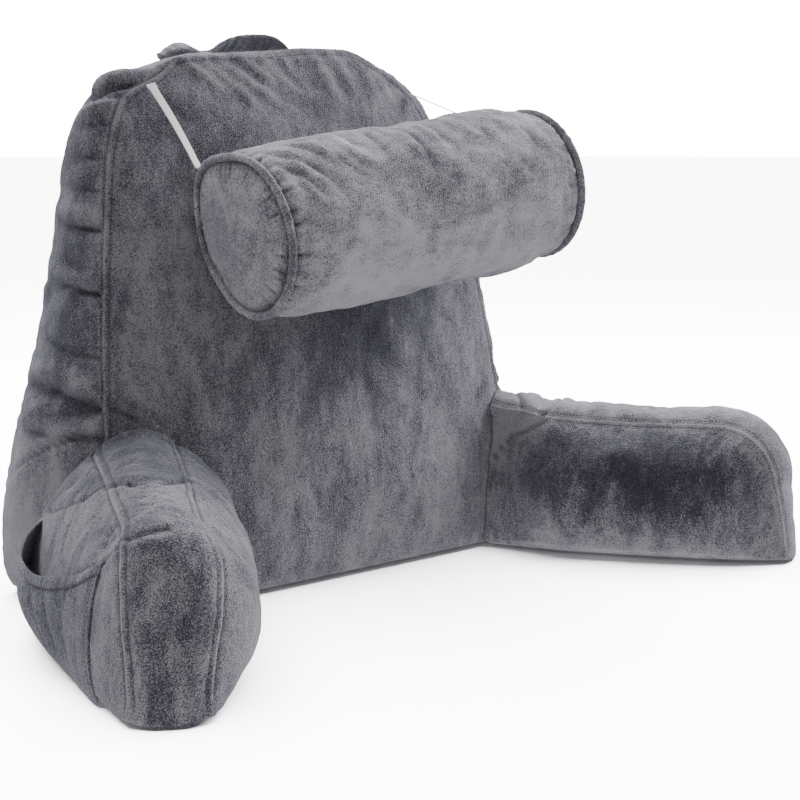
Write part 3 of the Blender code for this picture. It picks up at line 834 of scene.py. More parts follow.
# ---------------------------------------------------------------- arms
# Columns: foot x, foot y, splay in degrees, side (-1 is the viewer's left).
ARMS = {
    "arm_left": (-0.205, -0.090, 29.6, -1.0),
    "arm_right": (0.205, -0.090, 34.2, 1.0),
}
ARM_ROOT = -0.060
ARM_LENGTH = 0.330
TOP_SEAM = {
    "arm_left": ((-0.060, 0.168), (0.040, 0.166), (0.140, 0.160), (0.255, 0.148)),
    "arm_right": ((-0.060, 0.160), (0.030, 0.154), (0.100, 0.147), (0.255, 0.146)),
}
END_SEAM = ((0.332, 0.0), (0.329, 0.030), (0.325, 0.060), (0.319, 0.088))
END_CORNER_DROP = 0.009
STRIP_CROWN_TOP = 0.018
STRIP_CROWN_END = 0.013
STRIP_WIDTH_TOP = (0.065, 0.086)
STRIP_WIDTH_FLOOR = (0.072, 0.138)
FLARE_TURN = 0.045
FLARE_TURN_IN = 0.045
INNER_CROWN = 0.054
# Where along the arm its inner panel starts to crown, and where it is full.
INNER_RISE = {"arm_left": (-0.2, -0.1), "arm_right": (-0.020, 0.110)}
# How far the root's inner side is drawn in at its top seam, where it goes in beside the back.
ROOT_DRAW = {"arm_left": 0.0, "arm_right": 0.028}
OUTER_CROWN = 0.024
STRIP_TUCKS = {
    "arm_left": ((0.195, 0.016, 0.0022), (0.020, 0.014, 0.0050)),
    "arm_right": ((0.064, 0.012, 0.0030), (0.018, 0.016, 0.0030)),
}
ARM_MIDDLE = np.array([0.150, 0.074])
ARM_POINTS = 470
ARM_RINGS = (32, 30, 32)  # over the inner panel, the strip and the outer panel
CROWN_PASSES = 60
# Parts: 0 the inner panel (along, up), 1 the strip (along, across from the inner seam), 2 the
# outer panel (along, up).
ARM_CROSS_SEAMS = {
    "arm_left": (
        (1, 2.4, ((138, 0), (183, 14), (202, 31), (195, 50), (166, 70), (143, 83))),
        (2, 2.4, ((144, 162), (139, 150), (121, 140), (91, 130), (43, 114), (-20, 90))),
        (0, 2, ((138, 162), (120, 146), (94, 128), (60, 110))),
        (1, 2, ((281, 78), (291, 71), (291, 58), (290, 49), (289, 34))),
        (2, 2, ((276, 122), (283, 131), (292, 142))),
    ),
    "arm_right": (
        (1, 2, ((62, 0), (69, 10), (75, 30), (77, 50), (74, 80))),
        (0, 1, ((71, 148.5), (59, 142), (48, 137), (29, 128), (20, 117), (5, 90))),
    ),
}
ARM_FOLDS = {
    "arm_left": {
        0: (
            (230, 150, 180, 120, 100, 5, -1.8), (262, 146, 210, 108, 100, 5, -1.8),
            (300, 118, 262, 86, 100, 6, -1.6), (140, 156, 100, 120, 100, 6, 2),
        ),
        1: (
            (176, 78, 224, 16, 100, 3.5, -1.3), (190, 77, 236, 16, 100, 3, -1.2),
            (203, 76, 246, 14, 100, 3, -1.4), (216, 74, 258, 10, 100, 3.5, -1.2),
            (231, 72, 268, 8, 90, 3, -1.4), (245, 70, 276, 6, 90, 3, -1.1),
            (258, 68, 284, 6, 80, 3.5, -1.2), (150, 74, 186, 20, 100, 6, 2),
        ),
        2: (
            (259, 121, 247, 153, 50, 4, -3.4), (263, 122, 268, 150, 0, 4, -3),
            (254, 119, 224, 149, 50, 4.5, -3.4), (246, 116, 206, 146, 80, 6, -1.6),
            (252, 122, 236, 150, 50, 5.5, 2.4), (40, 130, 110, 142, 100, 10, 4),
            (20, 122, 100, 148, 120, 9, -3), (304, 100, 298, 60, 100, 6, -2.4),
            (306, 44, 312, 14, -100, 6, -3),
        ),
    },
    "arm_right": {
        0: (
            (264, 106, 290, 136, 50, 4.5, -2.6), (276, 98, 305, 126, 50, 4, -2.4),
            (288, 86, 315, 112, 30, 4, -2.4), (296, 70, 322, 90, 0, 4, -2),
            (248, 118, 266, 143, 0, 5, -2), (288, 22, 328, 52, 100, 5, -3),
            (300, 12, 330, 30, 50, 5, -2.6), (120, 142, 112, 112, 0, 4.5, -1.6),
            (156, 142, 152, 108, 0, 4.5, -1.4), (204, 144, 206, 112, 0, 4.5, -1.6),
            (16, 126, 40, 90, 100, 6, -1.4), (48, 128, 60, 92, 50, 6, -1.8),
        ),
        1: (
            (10, 50, 40, -20, 100, 3.5, -4), (46, 80, 58, -6, 50, 3.5, -3.4),
            (30, 78, 34, 10, 50, 3, -2.4), (104, 80, 112, -10, 50, 3.5, -2.4),
            (128, 80, 140, 30, 50, 3.5, -1.6), (90, 60, 98, 10, 50, 6, -1.8),
        ),
        2: (),
    },
}
# Painted shade over the near arm's end cap and outer side and over the far arm's inner panel, and
# painted light on the far arm's top. Each place is along, across and up the arm.
ARM_PAINTED_LIGHT = {
    "arm_left": (
        (335, 30, 85, 35, -300), (335, 30, 10, 45, -850), (240, 110, 60, 60, -300),
    ),
    "arm_right": (
        (50, -55, 95, 45, -800), (100, -55, 105, 45, -900), (150, -55, 100, 50, -1000),
        (205, -55, 100, 50, -1000), (260, -50, 95, 45, -800), (30, -10, 105, 40, -600),
        (80, -30, 130, 35, -800), (130, -35, 133, 35, -900), (180, -35, 133, 35, -900),
        (230, -35, 130, 35, -800), (35, 10, 155, 50, 1600), (120, 20, 160, 40, 600),
        (200, 20, 160, 40, 600), (280, 20, 155, 40, 600),
    ),
}


def arm_to_world(name, along, across, up):
    foot_x, foot_y, splay, hand = ARMS[name]
    angle = math.radians(splay)
    x = foot_x + hand * (math.sin(angle) * along + math.cos(angle) * across)
    y = foot_y - math.cos(angle) * along + math.sin(angle) * across
    return np.stack([x, y, up * np.ones_like(x)], axis=-1)


def arm_outline(name):
    """The seams seen from the side: (along, up, how far the strip is crowned there)."""
    rows = [(ARM_ROOT + (ARM_LENGTH - ARM_ROOT) * k / 60, 0.0, 0.0) for k in range(60)]
    rows += [(along, up, STRIP_CROWN_END) for along, up in END_SEAM]
    first, last = np.array(END_SEAM[-1]), np.array(TOP_SEAM[name][-1])
    bend = np.array([first[0] - END_CORNER_DROP, last[1]])
    for t in np.linspace(0, 1, 40)[1:-1]:
        place = (1 - t) ** 2 * first + 2 * t * (1 - t) * bend + t**2 * last
        rows.append((*place, STRIP_CROWN_TOP))
    for along in np.linspace(last[0], ARM_ROOT, 80)[:-1]:
        rows.append((along, float(smooth_table(TOP_SEAM[name], along)), STRIP_CROWN_TOP))
    root_up = rows[-1][1]
    for share in np.linspace(1, 0, 30)[:-1]:
        rows.append((ARM_ROOT, root_up * share, 0.0))
    line = evenly(np.array(rows), ARM_POINTS)
    crown = evened(line[None, :, 2], 0, CROWN_PASSES)[0]
    line = soften(line[:, :2].copy(), 5)
    return line, crown


def top_height(name, along):
    return smooth_table(TOP_SEAM[name], along)


def panel_crown(name, along, up):
    middle = (ARM_ROOT - 0.10 + ARM_LENGTH) / 2
    long_share = np.minimum(np.abs(along - middle) / (ARM_LENGTH - middle), 1.0)
    tall_share = np.minimum(np.abs(2 * up / top_height(name, along) - 0.92) / 1.08, 1.0)
    return (1 - long_share**5) * (1 - tall_share**2.4)


def outer_side(name, along, up):
    back_share = np.clip((ARM_LENGTH - along) / ARM_LENGTH, 0.0, 1.25)
    top = STRIP_WIDTH_TOP[0] + back_share * (STRIP_WIDTH_TOP[1] - STRIP_WIDTH_TOP[0])
    floor = STRIP_WIDTH_FLOOR[0] + back_share * (STRIP_WIDTH_FLOOR[1] - STRIP_WIDTH_FLOOR[0])
    height_share = np.clip(up / top_height(name, along), 0.0, 1.0)
    across = floor + (top - floor) * height_share**1.5
    turn = np.maximum(FLARE_TURN - along, 0.0) / (FLARE_TURN - ARM_ROOT)
    return across - FLARE_TURN_IN * turn**2 + OUTER_CROWN * panel_crown(name, along, up)


def inner_side(name, along, up):
    rise = smooth_step(along, *INNER_RISE[name])
    drawn = (1 - smooth_step(along, -0.02, 0.10)) * smooth_step(up, 0.03, 0.15)
    return ROOT_DRAW[name] * drawn - INNER_CROWN * rise * panel_crown(name, along, up)


def arm_shell(name):
    outline, crown = arm_outline(name)

    def place(part, along, up):
        side = outer_side if part else inner_side
        return arm_to_world(name, along, side(name, along, up), up)

    along, up = outline.T
    inner = inner_side(name, along, up)
    tangent = tangents(outline, 3)
    out = np.stack([tangent[:, 1], -tangent[:, 0]], axis=1)

    def strip(share, off):
        puff = (4 * share * (1 - share)) ** 0.8
        tuck = sum(
            depth * bump(along - place, half_width) * (up > 0.1)
            for place, half_width, depth in STRIP_TUCKS[name]
        )
        lift = crown * puff - tuck
        raised = up + np.maximum(out[:, 1], 0) * lift
        return arm_to_world(name, along + out[:, 0] * lift, inner + off, raised), along, off

    width = outer_side(name, along, up) - inner
    seams = (outline, outline)
    return boxed_shell(-ARMS[name][3], seams, ARM_MIDDLE, ARM_RINGS, place, strip, width)


ARM_VOXEL = 0.0056
ARM_SEED = {"arm_left": 40, "arm_right": 60}  # added to the seeds below
ARM_GATHERS = ((0.011, 0.0008, 0.010, 0), (0.013, 0.0006, 0.010, 3))
ARM_SWELLS = ((0.0018, 0.09, 6), (0.0006, 0.03, 7))
ARM_CREASED = 0.9
ARM_MARGIN = 0.006
RIDGE = 0.0016  # how far the far arm's seams stand up
ROOT_EDGE = (-0.001, 0.004)  # how sharply a root piece's tone ends at its seam
UNDER_POCKET = 0.0010  # how far the cloth under the pocket is pressed in
TOPSTITCH_PRESS = {"arm_left": 1.0, "arm_right": 0.5}
SEAM_DEPTH = {"arm_left": 1.0, "arm_right": 0.35}
# Where the near arm's root piece ends: along at each across, and up at each along.
ROOT_ON_TOP = np.array(((-9, 137), (14, 183), (31, 202), (50, 195), (70, 166), (83, 143))) / 1000
ROOT_AT_SIDE = np.array(
    ((-20, 90), (43, 114), (91, 130), (121, 140), (139, 150), (144, 162))
) / 1000
# The far arm's root piece lies above this line on the inner panel: up at each along.
FAR_ROOT = np.array(((-20, 50), (5, 90), (20, 117), (29, 128), (48, 137), (71, 149))) / 1000
POCKET_FRONT = 0.275
POCKET_BACK = 0.036
POCKET_MOUTH = ((0.0, 0.124), (0.20, 0.101), (0.45, 0.088), (0.75, 0.087), (1.0, 0.108))


def under_pocket(along, up):
    """1 where the pocket lies over the arm, 0 elsewhere."""
    share = (POCKET_FRONT - along) / (POCKET_FRONT - POCKET_BACK)
    inside = smooth_step(share, -0.02, 0.03) * (1 - smooth_step(share, 0.97, 1.02))
    return inside * (1 - smooth_step(up - smooth_table(POCKET_MOUTH, share), -0.006, 0.008))


def root_piece(shell, name):
    """Its pile lies deeper on the near arm, and pale on the far one."""
    part, u, v = (shell.fact[key] for key in ("part", "u", "v"))
    if name == "arm_left":
        on_top = smooth_step(smooth_table(ROOT_ON_TOP, v) - u, *ROOT_EDGE)
        beside = smooth_step(v - smooth_table(ROOT_AT_SIDE, u), *ROOT_EDGE)
        beside = beside * (1 - smooth_step(u, 0.138, 0.150))
        behind = np.where(part == 1, 0.85 * on_top, 0.75 * beside)
        shell.mark(deep_pile_and_shade=behind * (0.8 + 0.2 * lumps(shell.points, 0.03, 8)))
    else:
        root = smooth_step(v - smooth_table(FAR_ROOT, u), *ROOT_EDGE)
        root = root * (1 - smooth_step(u, 0.064, 0.074)) * (part == 0)
        shell.marks["deep_pile_and_shade"] *= np.where(part == 0, 1.0, 0.3) * (1 - root)
        shell.mark(pale_pile_and_light=0.35 * root)


def dress_arm(name, shell):
    part, off, far = (shell.fact[key] for key in ("part", "off", "far"))
    near = shell.near
    press, depth, seed = TOPSTITCH_PRESS[name], SEAM_DEPTH[name], ARM_SEED[name]
    height = ARM_CREASED * wrinkles(shell, ARM_VOXEL) + swells(shell, 0.04, ARM_SWELLS, seed)
    for panel, table in ARM_FOLDS[name].items():
        shell.fold(height, panel, table, ARM_MARGIN)
    shell.cross_seams(height, ARM_CROSS_SEAMS[name])
    shell.stroke(ARM_PAINTED_LIGHT[name], lambda place: arm_to_world(name, *place))
    root_piece(shell, name)
    sewn = topstitched(off, press) + topstitched(far, press)
    height += depth * np.where(part == 1, sewn, plain_side(near))
    if name == "arm_left":
        under = (part == 2) * under_pocket(shell.fact["u"], shell.fact["v"])
        height = height * (1 - under) - UNDER_POCKET * under
    height += gathered(shell, *ARM_GATHERS, seed)
    for distance in (off, far):
        seam_marks(shell, distance, press * (part == 1), depth)
    if name == "arm_right":  # its seams stand up as thin ridges, with painted highlights on them and a line of painted shade beside them on the strip
        height += RIDGE * bump(near, 0.0020)
        shell.marks["pressed_and_crease_shade"] *= 1 - bump(near, 0.0016)
        shell.mark(
            pressed_and_crease_shade=0.6 * (part == 1) * bump(near - 0.0044, 0.0009),
            ridge_highlight=1.2 * bump(near, 0.0018),
        )
    shell.settle(height)
    round_under(shell)


# ---------------------------------------------------------------- neck roll
ROLL_CENTRE = np.array([0.026, -0.1475, 0.387])
ROLL_YAW = 1.9  # degrees
ROLL_TILT = 6.4
ROLL_ROUND = 0.083  # the radius that lengths round it go by
ROLL_HALF = 0.186
ROLL_PROFILE = (
    (0.0000, 0.0712), (0.0036, 0.0718), (0.0066, 0.0752), (0.0130, 0.0778), (0.0300, 0.0803),
    (0.0600, 0.0828), (0.1100, 0.0842), (0.1860, 0.0846),
)
ROLL_CAP = ((0.0, 0.0135), (0.28, 0.012), (0.62, 0.009), (0.90, 0.004), (1.0, 0.0))
# Degrees from the front, where an elastic pulls each end out, and where its cloth goes slack.
PULLED_AT = 136.0
PULLED_WIDTH = 26.0
PULLED_SHARE = (0.17, 0.06)
SLACK_AT = 222.0
SLACK_WIDTH = 34.0
SLACK_SHARE = -0.09
ROLL_SIDES = 240
ROLL_STATIONS = 120
CAP_RINGS = 26
CORD_RADIUS = 0.0038
CORD_SIDES = 14
CORD_OFF = 0.0005
PRESSED_PILE = 0.35  # how deep the pile lies where its cloth is drawn tight


def roll_ways():
    yaw, tilt = math.radians(ROLL_YAW), math.radians(ROLL_TILT)
    axis = np.array(
        [math.cos(yaw) * math.cos(tilt), -math.sin(yaw) * math.cos(tilt), math.sin(tilt)]
    )
    rear = np.cross([0, 0, 1], axis)
    rear /= np.linalg.norm(rear)
    return axis, rear, np.cross(axis, rear)


def roll_points(place, radius, turn):
    axis, rear, up = roll_ways()
    end_share = np.clip(place / ROLL_HALF, -1, 1)
    angle = np.degrees(turn) % 360
    pulled = np.where(end_share > 0, PULLED_SHARE[1], PULLED_SHARE[0])
    shape = pulled * bump(angle - PULLED_AT, PULLED_WIDTH)
    shape = shape + SLACK_SHARE * bump(angle - SLACK_AT, SLACK_WIDTH)
    length = radius * (1 + (0.25 + 0.75 * end_share**2) * shape)
    away = -np.cos(turn)[..., None] * rear + np.sin(turn)[..., None] * up
    return ROLL_CENTRE + place[..., None] * axis + length[..., None] * away


def seam_points(end, lift=0.0, turn=None):
    """Points on a seam of the roll, at end -1 or 1, lifted off it."""
    turn = turns(ROLL_SIDES) if turn is None else turn
    place = end * ROLL_HALF * np.ones_like(turn)
    radius = ROLL_PROFILE[0][1] * np.ones_like(turn)
    inner = roll_points(place, radius, turn)
    out = unit(roll_points(place, radius + 0.01, turn) - inner)
    return inner + out * lift, out


def roll_shell():
    shell = RingShell(-1.0)
    turn = turns(ROLL_SIDES)
    around = ((turn + math.pi) % (2 * math.pi) - math.pi) * ROLL_ROUND
    seam = ROLL_PROFILE[0][1]
    shares = np.linspace(0.03, 0.985, CAP_RINGS)

    def ring(part, place, radius, off):
        where = roll_points(place * np.ones_like(turn), radius * np.ones_like(turn), turn)
        shell.add(where, part=part, off=off, turn=turn, place=place, u=place, v=around)

    def cap(side, shares):
        for share in shares:
            place = side * (ROLL_HALF + smooth_table(ROLL_CAP, share))
            ring(1 + side, place, seam * share, seam * (1 - share))

    cap(-1, shares)
    near = np.array(NEAR_SEAM)
    middle = np.linspace(-ROLL_HALF + near[-1], ROLL_HALF - near[-1], ROLL_STATIONS)[1:-1]
    for place in np.concatenate([-ROLL_HALF + near, middle, ROLL_HALF - near[::-1]]):
        inward = ROLL_HALF - abs(place)
        ring(1, place, smooth_table(ROLL_PROFILE, inward), inward)
    cap(1, reversed(shares))
    shell.close()
    return shell


def round_way(degrees):
    """Millimetres round the roll."""
    return 1000 * math.radians(degrees) * ROLL_ROUND


# Columns as for any fold, but the way round the roll is in degrees, 0 to the front.
ROLL_FOLDS = [
    (u0, round_way(v0), u1, round_way(v1), bend, half, height)
    for u0, v0, u1, v1, bend, half, height in (
        (-176, 62, -140, 22, 100, 3.6, -3.6), (-168, 74, -126, 30, 100, 3.4, -2.8),
        (-156, 84, -112, 44, 100, 3.4, -2.6), (-150, 62, -118, 16, 100, 3.4, -2.2),
        (-140, 90, -104, 60, 100, 3.4, -2.8), (-128, 78, -98, 40, 100, 6, 2.4),
        (-104, 84, -82, 30, -150, 4, -3.6), (-88, 84, -60, 34, -120, 8, 3.4),
        (-74, 92, -66, 56, -100, 3.4, -2.6), (-50, 88, -56, 44, 80, 4, -3.4),
        (-30, 92, -36, 62, 60, 3.4, -2.4), (-14, 88, -10, 30, 60, 4.5, -4),
        (8, 86, 14, 36, 60, 8, 3), (26, 86, 26, 48, 50, 3.6, -3), (48, 88, 46, 54, 50, 4, -2.2),
        (70, 80, 80, 40, 80, 5, -2.4), (120, 70, 134, 30, 80, 5, -2),
        (-184, -1, -150, -3, 50, 3.5, -2.6), (-184, -10, -156, -13, 50, 3.5, -3),
        (-184, -24, -158, -28, 50, 3.5, -2.8), (-184, -37, -152, -42, 50, 4, -3),
        (-184, 16, -154, 12, 50, 4, -2.2), (-184, -52, -150, -55, 50, 4, -2.6),
        (184, 2, 158, 6, 50, 3.5, -2.6), (184, -14, 156, -12, 50, 3.5, -2.6),
        (184, -32, 158, -28, 50, 3.5, -2.4), (184, 30, 156, 34, 50, 4, -2),
        (-20, -20, 70, -34, 50, 14, -2.4), (-130, -30, -60, -52, 50, 12, 2.2),
    )
]


ROLL_VOXEL = 0.0056
ROLL_CREASED = 0.8
ROLL_MARGIN = 0.004
CAP_GATHERS = (0.008, 0.0021, 0.012, 85)
SIDE_GATHERS = (0.009, 0.0017, 0.012, 81)
DASH_LENGTH = 0.0100
DASH_PATCHES = 0.09
DASH_OFF = 0.0080
DASH_DEPTH = 0.0020
ROLL_SWELLS = ((0.0016, 0.08, 88), (0.0006, 0.03, 89))
ROLL_GATHERED_ROUND = 0.08  # the radius that the lengths of its gathers go by
# Lengths far along the same uneven wave, so that an end or a side of a seam has its own.
OTHER_END = 300.0
OTHER_SIDE = 500.0
DEEPEST_GATHER = 0.0026
# Painted light low on the roll's front, as from the floor, and painted shade on its top.
ROLL_PAINTED_LIGHT = (
    (-90, -215, 335, 60, 1000), (30, -215, 330, 60, 1000), (140, -210, 345, 60, 800),
    (-80, -135, 468, 60, -900), (30, -135, 472, 60, -1000), (130, -135, 478, 60, -900),
)


def dress_roll(shell):
    off, turn, place, part = (shell.fact[key] for key in ("off", "turn", "place", "part"))
    run = turn * ROLL_GATHERED_ROUND + np.where(place > 0, OTHER_END, 0.0)
    height = ROLL_CREASED * wrinkles(shell, ROLL_VOXEL) * smooth_step(off, 0.0, 0.012)
    shell.fold(height, 1, ROLL_FOLDS, ROLL_MARGIN)
    gathers = pucker(run, off, *SIDE_GATHERS) * (part == 1)
    gathers += pucker(run, off, *CAP_GATHERS) * (part != 1)
    patchy = smooth_step(ripple(run, DASH_PATCHES, 93), -0.9, 0.2)
    dashes = smooth_step(ripple(run + OTHER_SIDE * (part == 1), DASH_LENGTH, 91), 0.45, 1.1)
    dashes = dashes * patchy * bump(off - DASH_OFF, 0.0060)
    height += np.maximum(gathers - DASH_DEPTH * dashes, -DEEPEST_GATHER)
    seam_marks(shell, off, 0.0)
    # Painted shade in the dashes and in a band beside the piping.
    shell.mark(pressed_and_crease_shade=dashes + 0.8 * bump(off, 0.0045))
    height += swells(shell, 0.04, ROLL_SWELLS)
    shell.stroke(ROLL_PAINTED_LIGHT)
    shell.push(height * smooth_step(off, -0.002, 0.004))


def piping(name, side):
    axis, _, _ = roll_ways()
    centre, out = seam_points(side, CORD_RADIUS + CORD_OFF)
    uneven = 1 + 0.05 * ripple(turns(ROLL_SIDES) * ROLL_GATHERED_ROUND, 0.012, 95)
    radius = CORD_RADIUS * uneven[:, None]
    spokes = [math.cos(angle) * out + math.sin(angle) * axis for angle in turns(CORD_SIDES)]
    rings = np.stack([centre + radius * spoke for spoke in spokes], axis=1)
    deep_pile_and_shade = PRESSED_PILE * np.ones(rings.shape[:2])
    return mesh_of(name, rings, closed_rows=True, marks={"deep_pile_and_shade": deep_pile_and_shade})


# ---------------------------------------------------------------- pocket
POCKET_FLOOR = 0.004
# Columns: share from front to back, how far the mouth stands off the arm.
POCKET_GAPE = ((0.0, 0.0), (0.15, 0.003), (0.38, 0.017), (0.66, 0.022), (0.9, 0.013), (1.0, 0.0))
POCKET_THICKNESS = 0.002
POCKET_CLEAR = 0.0006
POCKET_EDGE = 0.06  # the share of its width over which the patch thins to each side
POCKET_FULL = (0.15, 0.50)  # from which share its back half's fullness starts and is whole
POCKET_COLUMNS = 230
HEM_ROWS = 22
HEM_REACH = 0.022  # closely spaced rows down from the mouth
POCKET_ROWS = 66
PLEATS = 7
PLEAT_DEPTH = 0.0062
PLEAT_LEAN = 0.34
PLEAT_BELOW = (0.008, 0.028)  # how far below the mouth a pleat starts and is full
POCKET_BELLY = 0.002
HEM = 0.011
HEM_SWELL = 0.0011
HEM_GROOVE = 0.0016
HEM_DEEPEST = 0.0012
MOUTH_RUN = 0.24
MOUTH_GATHERS = (0.0012, 0.007, 0.010, 31)  # depth, length, reach, seed
SEWN_COLUMNS = (4, -5)  # the columns of points that its sides are sewn down along


def pocket_piece(thread):
    """A patch gathered on an elastic mouth, sewn down along its front, back and floor edges."""
    share = np.linspace(0, 1, POCKET_COLUMNS)
    along = POCKET_FRONT + share * (POCKET_BACK - POCKET_FRONT)
    mouth = smooth_table(POCKET_MOUTH, share)
    gape = smooth_table(POCKET_GAPE, share)
    middle = np.sin(math.pi * share) ** 0.6
    edge = smooth_step(np.minimum(share, 1 - share), 0.0, POCKET_EDGE)
    levels = [
        POCKET_FLOOR + part * (mouth - HEM_REACH - POCKET_FLOOR)
        for part in np.linspace(0, 1, POCKET_ROWS - HEM_ROWS, endpoint=False)
    ]
    levels += [mouth - down for down in np.linspace(HEM_REACH, 0, HEM_ROWS)]
    back_half = smooth_step(share, *POCKET_FULL)
    depth, length, reach, seed = MOUTH_GATHERS
    mouth_gathers = depth * ripple(share * MOUTH_RUN, length, seed) * middle
    sheets = ([], [])
    valleys = []
    for side, rows in enumerate(sheets):
        for up in levels:
            down = mouth - up
            rise = (up - POCKET_FLOOR) / (mouth - POCKET_FLOOR)
            lean = share + PLEAT_LEAN * (1 - rise) * share
            wave = (0.5 - 0.5 * np.cos(2 * math.pi * PLEATS * lean**0.9)) ** 0.6
            tall = np.sin(math.pi * np.clip(rise, 0.0, 0.8)) ** 0.5
            tall = tall * smooth_step(down, *PLEAT_BELOW) * middle * (0.45 + 0.55 * back_half)
            pleat = PLEAT_DEPTH * wave * tall
            gather = mouth_gathers * np.exp(-np.abs(down - HEM) / reach)
            belly = POCKET_BELLY * np.sin(math.pi * rise) * middle * back_half
            off = POCKET_CLEAR + gape * rise**1.3 + belly + np.maximum(pleat + gather, 0.0)
            if side:
                valleys.append(smooth_step(1 - wave, 0.55, 0.95) * tall)
                hem = HEM_SWELL * bump((down - HEM / 2) / (HEM / 2), 1.0)
                hem = hem - HEM_GROOVE * bump(down - HEM, 0.0014)
                off = off + POCKET_THICKNESS * (0.4 + 0.6 * edge)
                off = off + np.maximum(hem, -HEM_DEEPEST) * edge
            across = outer_side("arm_left", along, up) + off
            rows.append(arm_to_world("arm_left", along, across, up))
    inside, outside = (np.stack(rows) for rows in sheets)
    out = normals_of(outside)
    out *= np.sign((out * (outside - inside)).sum(axis=2, keepdims=True))
    hem_row = len(levels) - 1 - round(HEM / HEM_REACH * (HEM_ROWS - 1))
    thread.sew(outside[hem_row, 4:-4], out[hem_row, 4:-4])
    for column in SEWN_COLUMNS:
        thread.sew(outside[:, column], out[:, column])
    # Painted shade in the valleys of the pleats and along the hem's groove.
    pressed_and_crease_shade = 0.7 * np.stack(valleys)
    pressed_and_crease_shade[hem_row - 1 : hem_row + 2] = 0.5
    pocket_shade = np.concatenate([0 * pressed_and_crease_shade, pressed_and_crease_shade[::-1]]).T
    rings = np.concatenate([inside, outside[::-1]]).transpose(1, 0, 2)
    deep_pile_and_shade = PRESSED_PILE + 0 * pocket_shade
    return mesh_of("pocket_patch", rings, marks={"pressed_and_crease_shade": pocket_shade, "deep_pile_and_shade": deep_pile_and_shade})


# ---------------------------------------------------------------- elastics and handle
STRAP_WIDTH = 0.008
STRAP_THICKNESS = 0.0012
STRAP_BOW = 0.003
STRAP_SPREAD = 0.22  # how much wider it is where it is sewn to the back
# Columns: the roll's end, x and z at its top, how far it is off the back there, and its turn
# at the top and at the bottom, in degrees.
STRAPS = {
    "strap_left": (-1, -0.172, 0.5105, 0.0012, -20.0, 10.0),
    "strap_right": (1, 0.166, 0.5030, 0.0040, 50.0, 50.0),
}
HANDLE_WIDTH = 0.026
HANDLE_THICKNESS = 0.0054
HANDLE_Y = 0.044
HANDLE_ROOT = (-0.126, -0.100)  # from its sewn end to where it is at its full width
HANDLE_BUNCH = (-0.102, 0.026, 0.9)  # where it bunches up, over which half width, how much
# Columns: x, and its lean in degrees.
HANDLE_LEAN = (
    (-0.126, -12.0), (-0.098, -18.0), (-0.074, 6.0), (-0.050, 34.0), (-0.010, 42.0), (0.014, 32.0),
    (0.034, -16.0), (0.052, -24.0),
)
HANDLE_LINE = np.array([
    (-126, 538.8), (-116, 542.8), (-106, 546.4), (-97, 547.8), (-88, 545), (-79, 542.4),
    (-70, 542.8), (-52, 549.5), (-26, 554.4), (0, 555.2), (24, 552), (40, 546.2), (52, 541.4),
]) / 1000
RIBBON_STEPS = 90
RIBBON_SIDES = 28


def ribbon(name, line, halves, thickness, softness=4.0, swell=None):
    """A flat band along a line, round at its edges."""
    ahead = np.gradient(line, axis=0)
    face = unit(np.cross(ahead, halves))
    rings = []
    for angle in turns(RIBBON_SIDES):
        wide = math.copysign(abs(math.cos(angle)) ** (2 / softness), math.cos(angle))
        thick = math.copysign(abs(math.sin(angle)) ** (2 / softness), math.sin(angle))
        thick = thick * thickness / 2 * (1 if swell is None else 1 + swell * abs(thick))
        rings.append(line + wide * halves + np.reshape(thick, (-1, 1)) * face)
    return mesh_of(name, np.stack(rings, axis=1))


def strap_piece(name):
    end, top_x, top_z, top_off, turn_top, turn_bottom = STRAPS[name]
    top = np.array([top_x, float(front_y(top_x, top_z)) - CORD_OFF - top_off, top_z])
    corner = np.array([math.radians(PULLED_AT)])
    bottom = seam_points(end, 2 * CORD_RADIUS + 3 * CORD_OFF, corner)[0][0]
    run = unit(bottom - top)
    share = np.linspace(0, 1, RIBBON_STEPS)[:, None]
    line = top + share * (bottom - top)
    line[:, 1] -= STRAP_BOW * np.sin(math.pi * share[:, 0])
    turn = np.radians(turn_top + share[:, 0] * (turn_bottom - turn_top))
    across = np.stack([np.cos(turn), np.sin(turn), np.zeros_like(turn)], axis=1)
    across -= (across @ run)[:, None] * run
    folded = 1 + STRAP_SPREAD * (1 - smooth_step(share, 0.03, 0.06))
    across = unit(across) * folded * STRAP_WIDTH / 2
    return ribbon(name + "_band", line, across, STRAP_THICKNESS, softness=6.0)


def handle_piece():
    x = np.linspace(HANDLE_LINE[0][0], HANDLE_LINE[-1][0], 160)
    z = smooth_table(HANDLE_LINE, x)
    line = np.stack([x, HANDLE_Y * np.ones_like(x), z], axis=1)
    lean = np.radians(smooth_table(HANDLE_LEAN, x))
    halves = np.stack([np.zeros_like(x), np.cos(lean), -np.sin(lean)], axis=1) * HANDLE_WIDTH / 2
    halves *= 0.5 + 0.5 * smooth_step(x, *HANDLE_ROOT)[:, None]
    bunch, half_width, amount = HANDLE_BUNCH
    swell = 0.20 * ripple(x, 0.012, 51) + amount * bump(x - bunch, half_width)
    return ribbon("carry_handle", line, halves, HANDLE_THICKNESS, 3.0, swell)


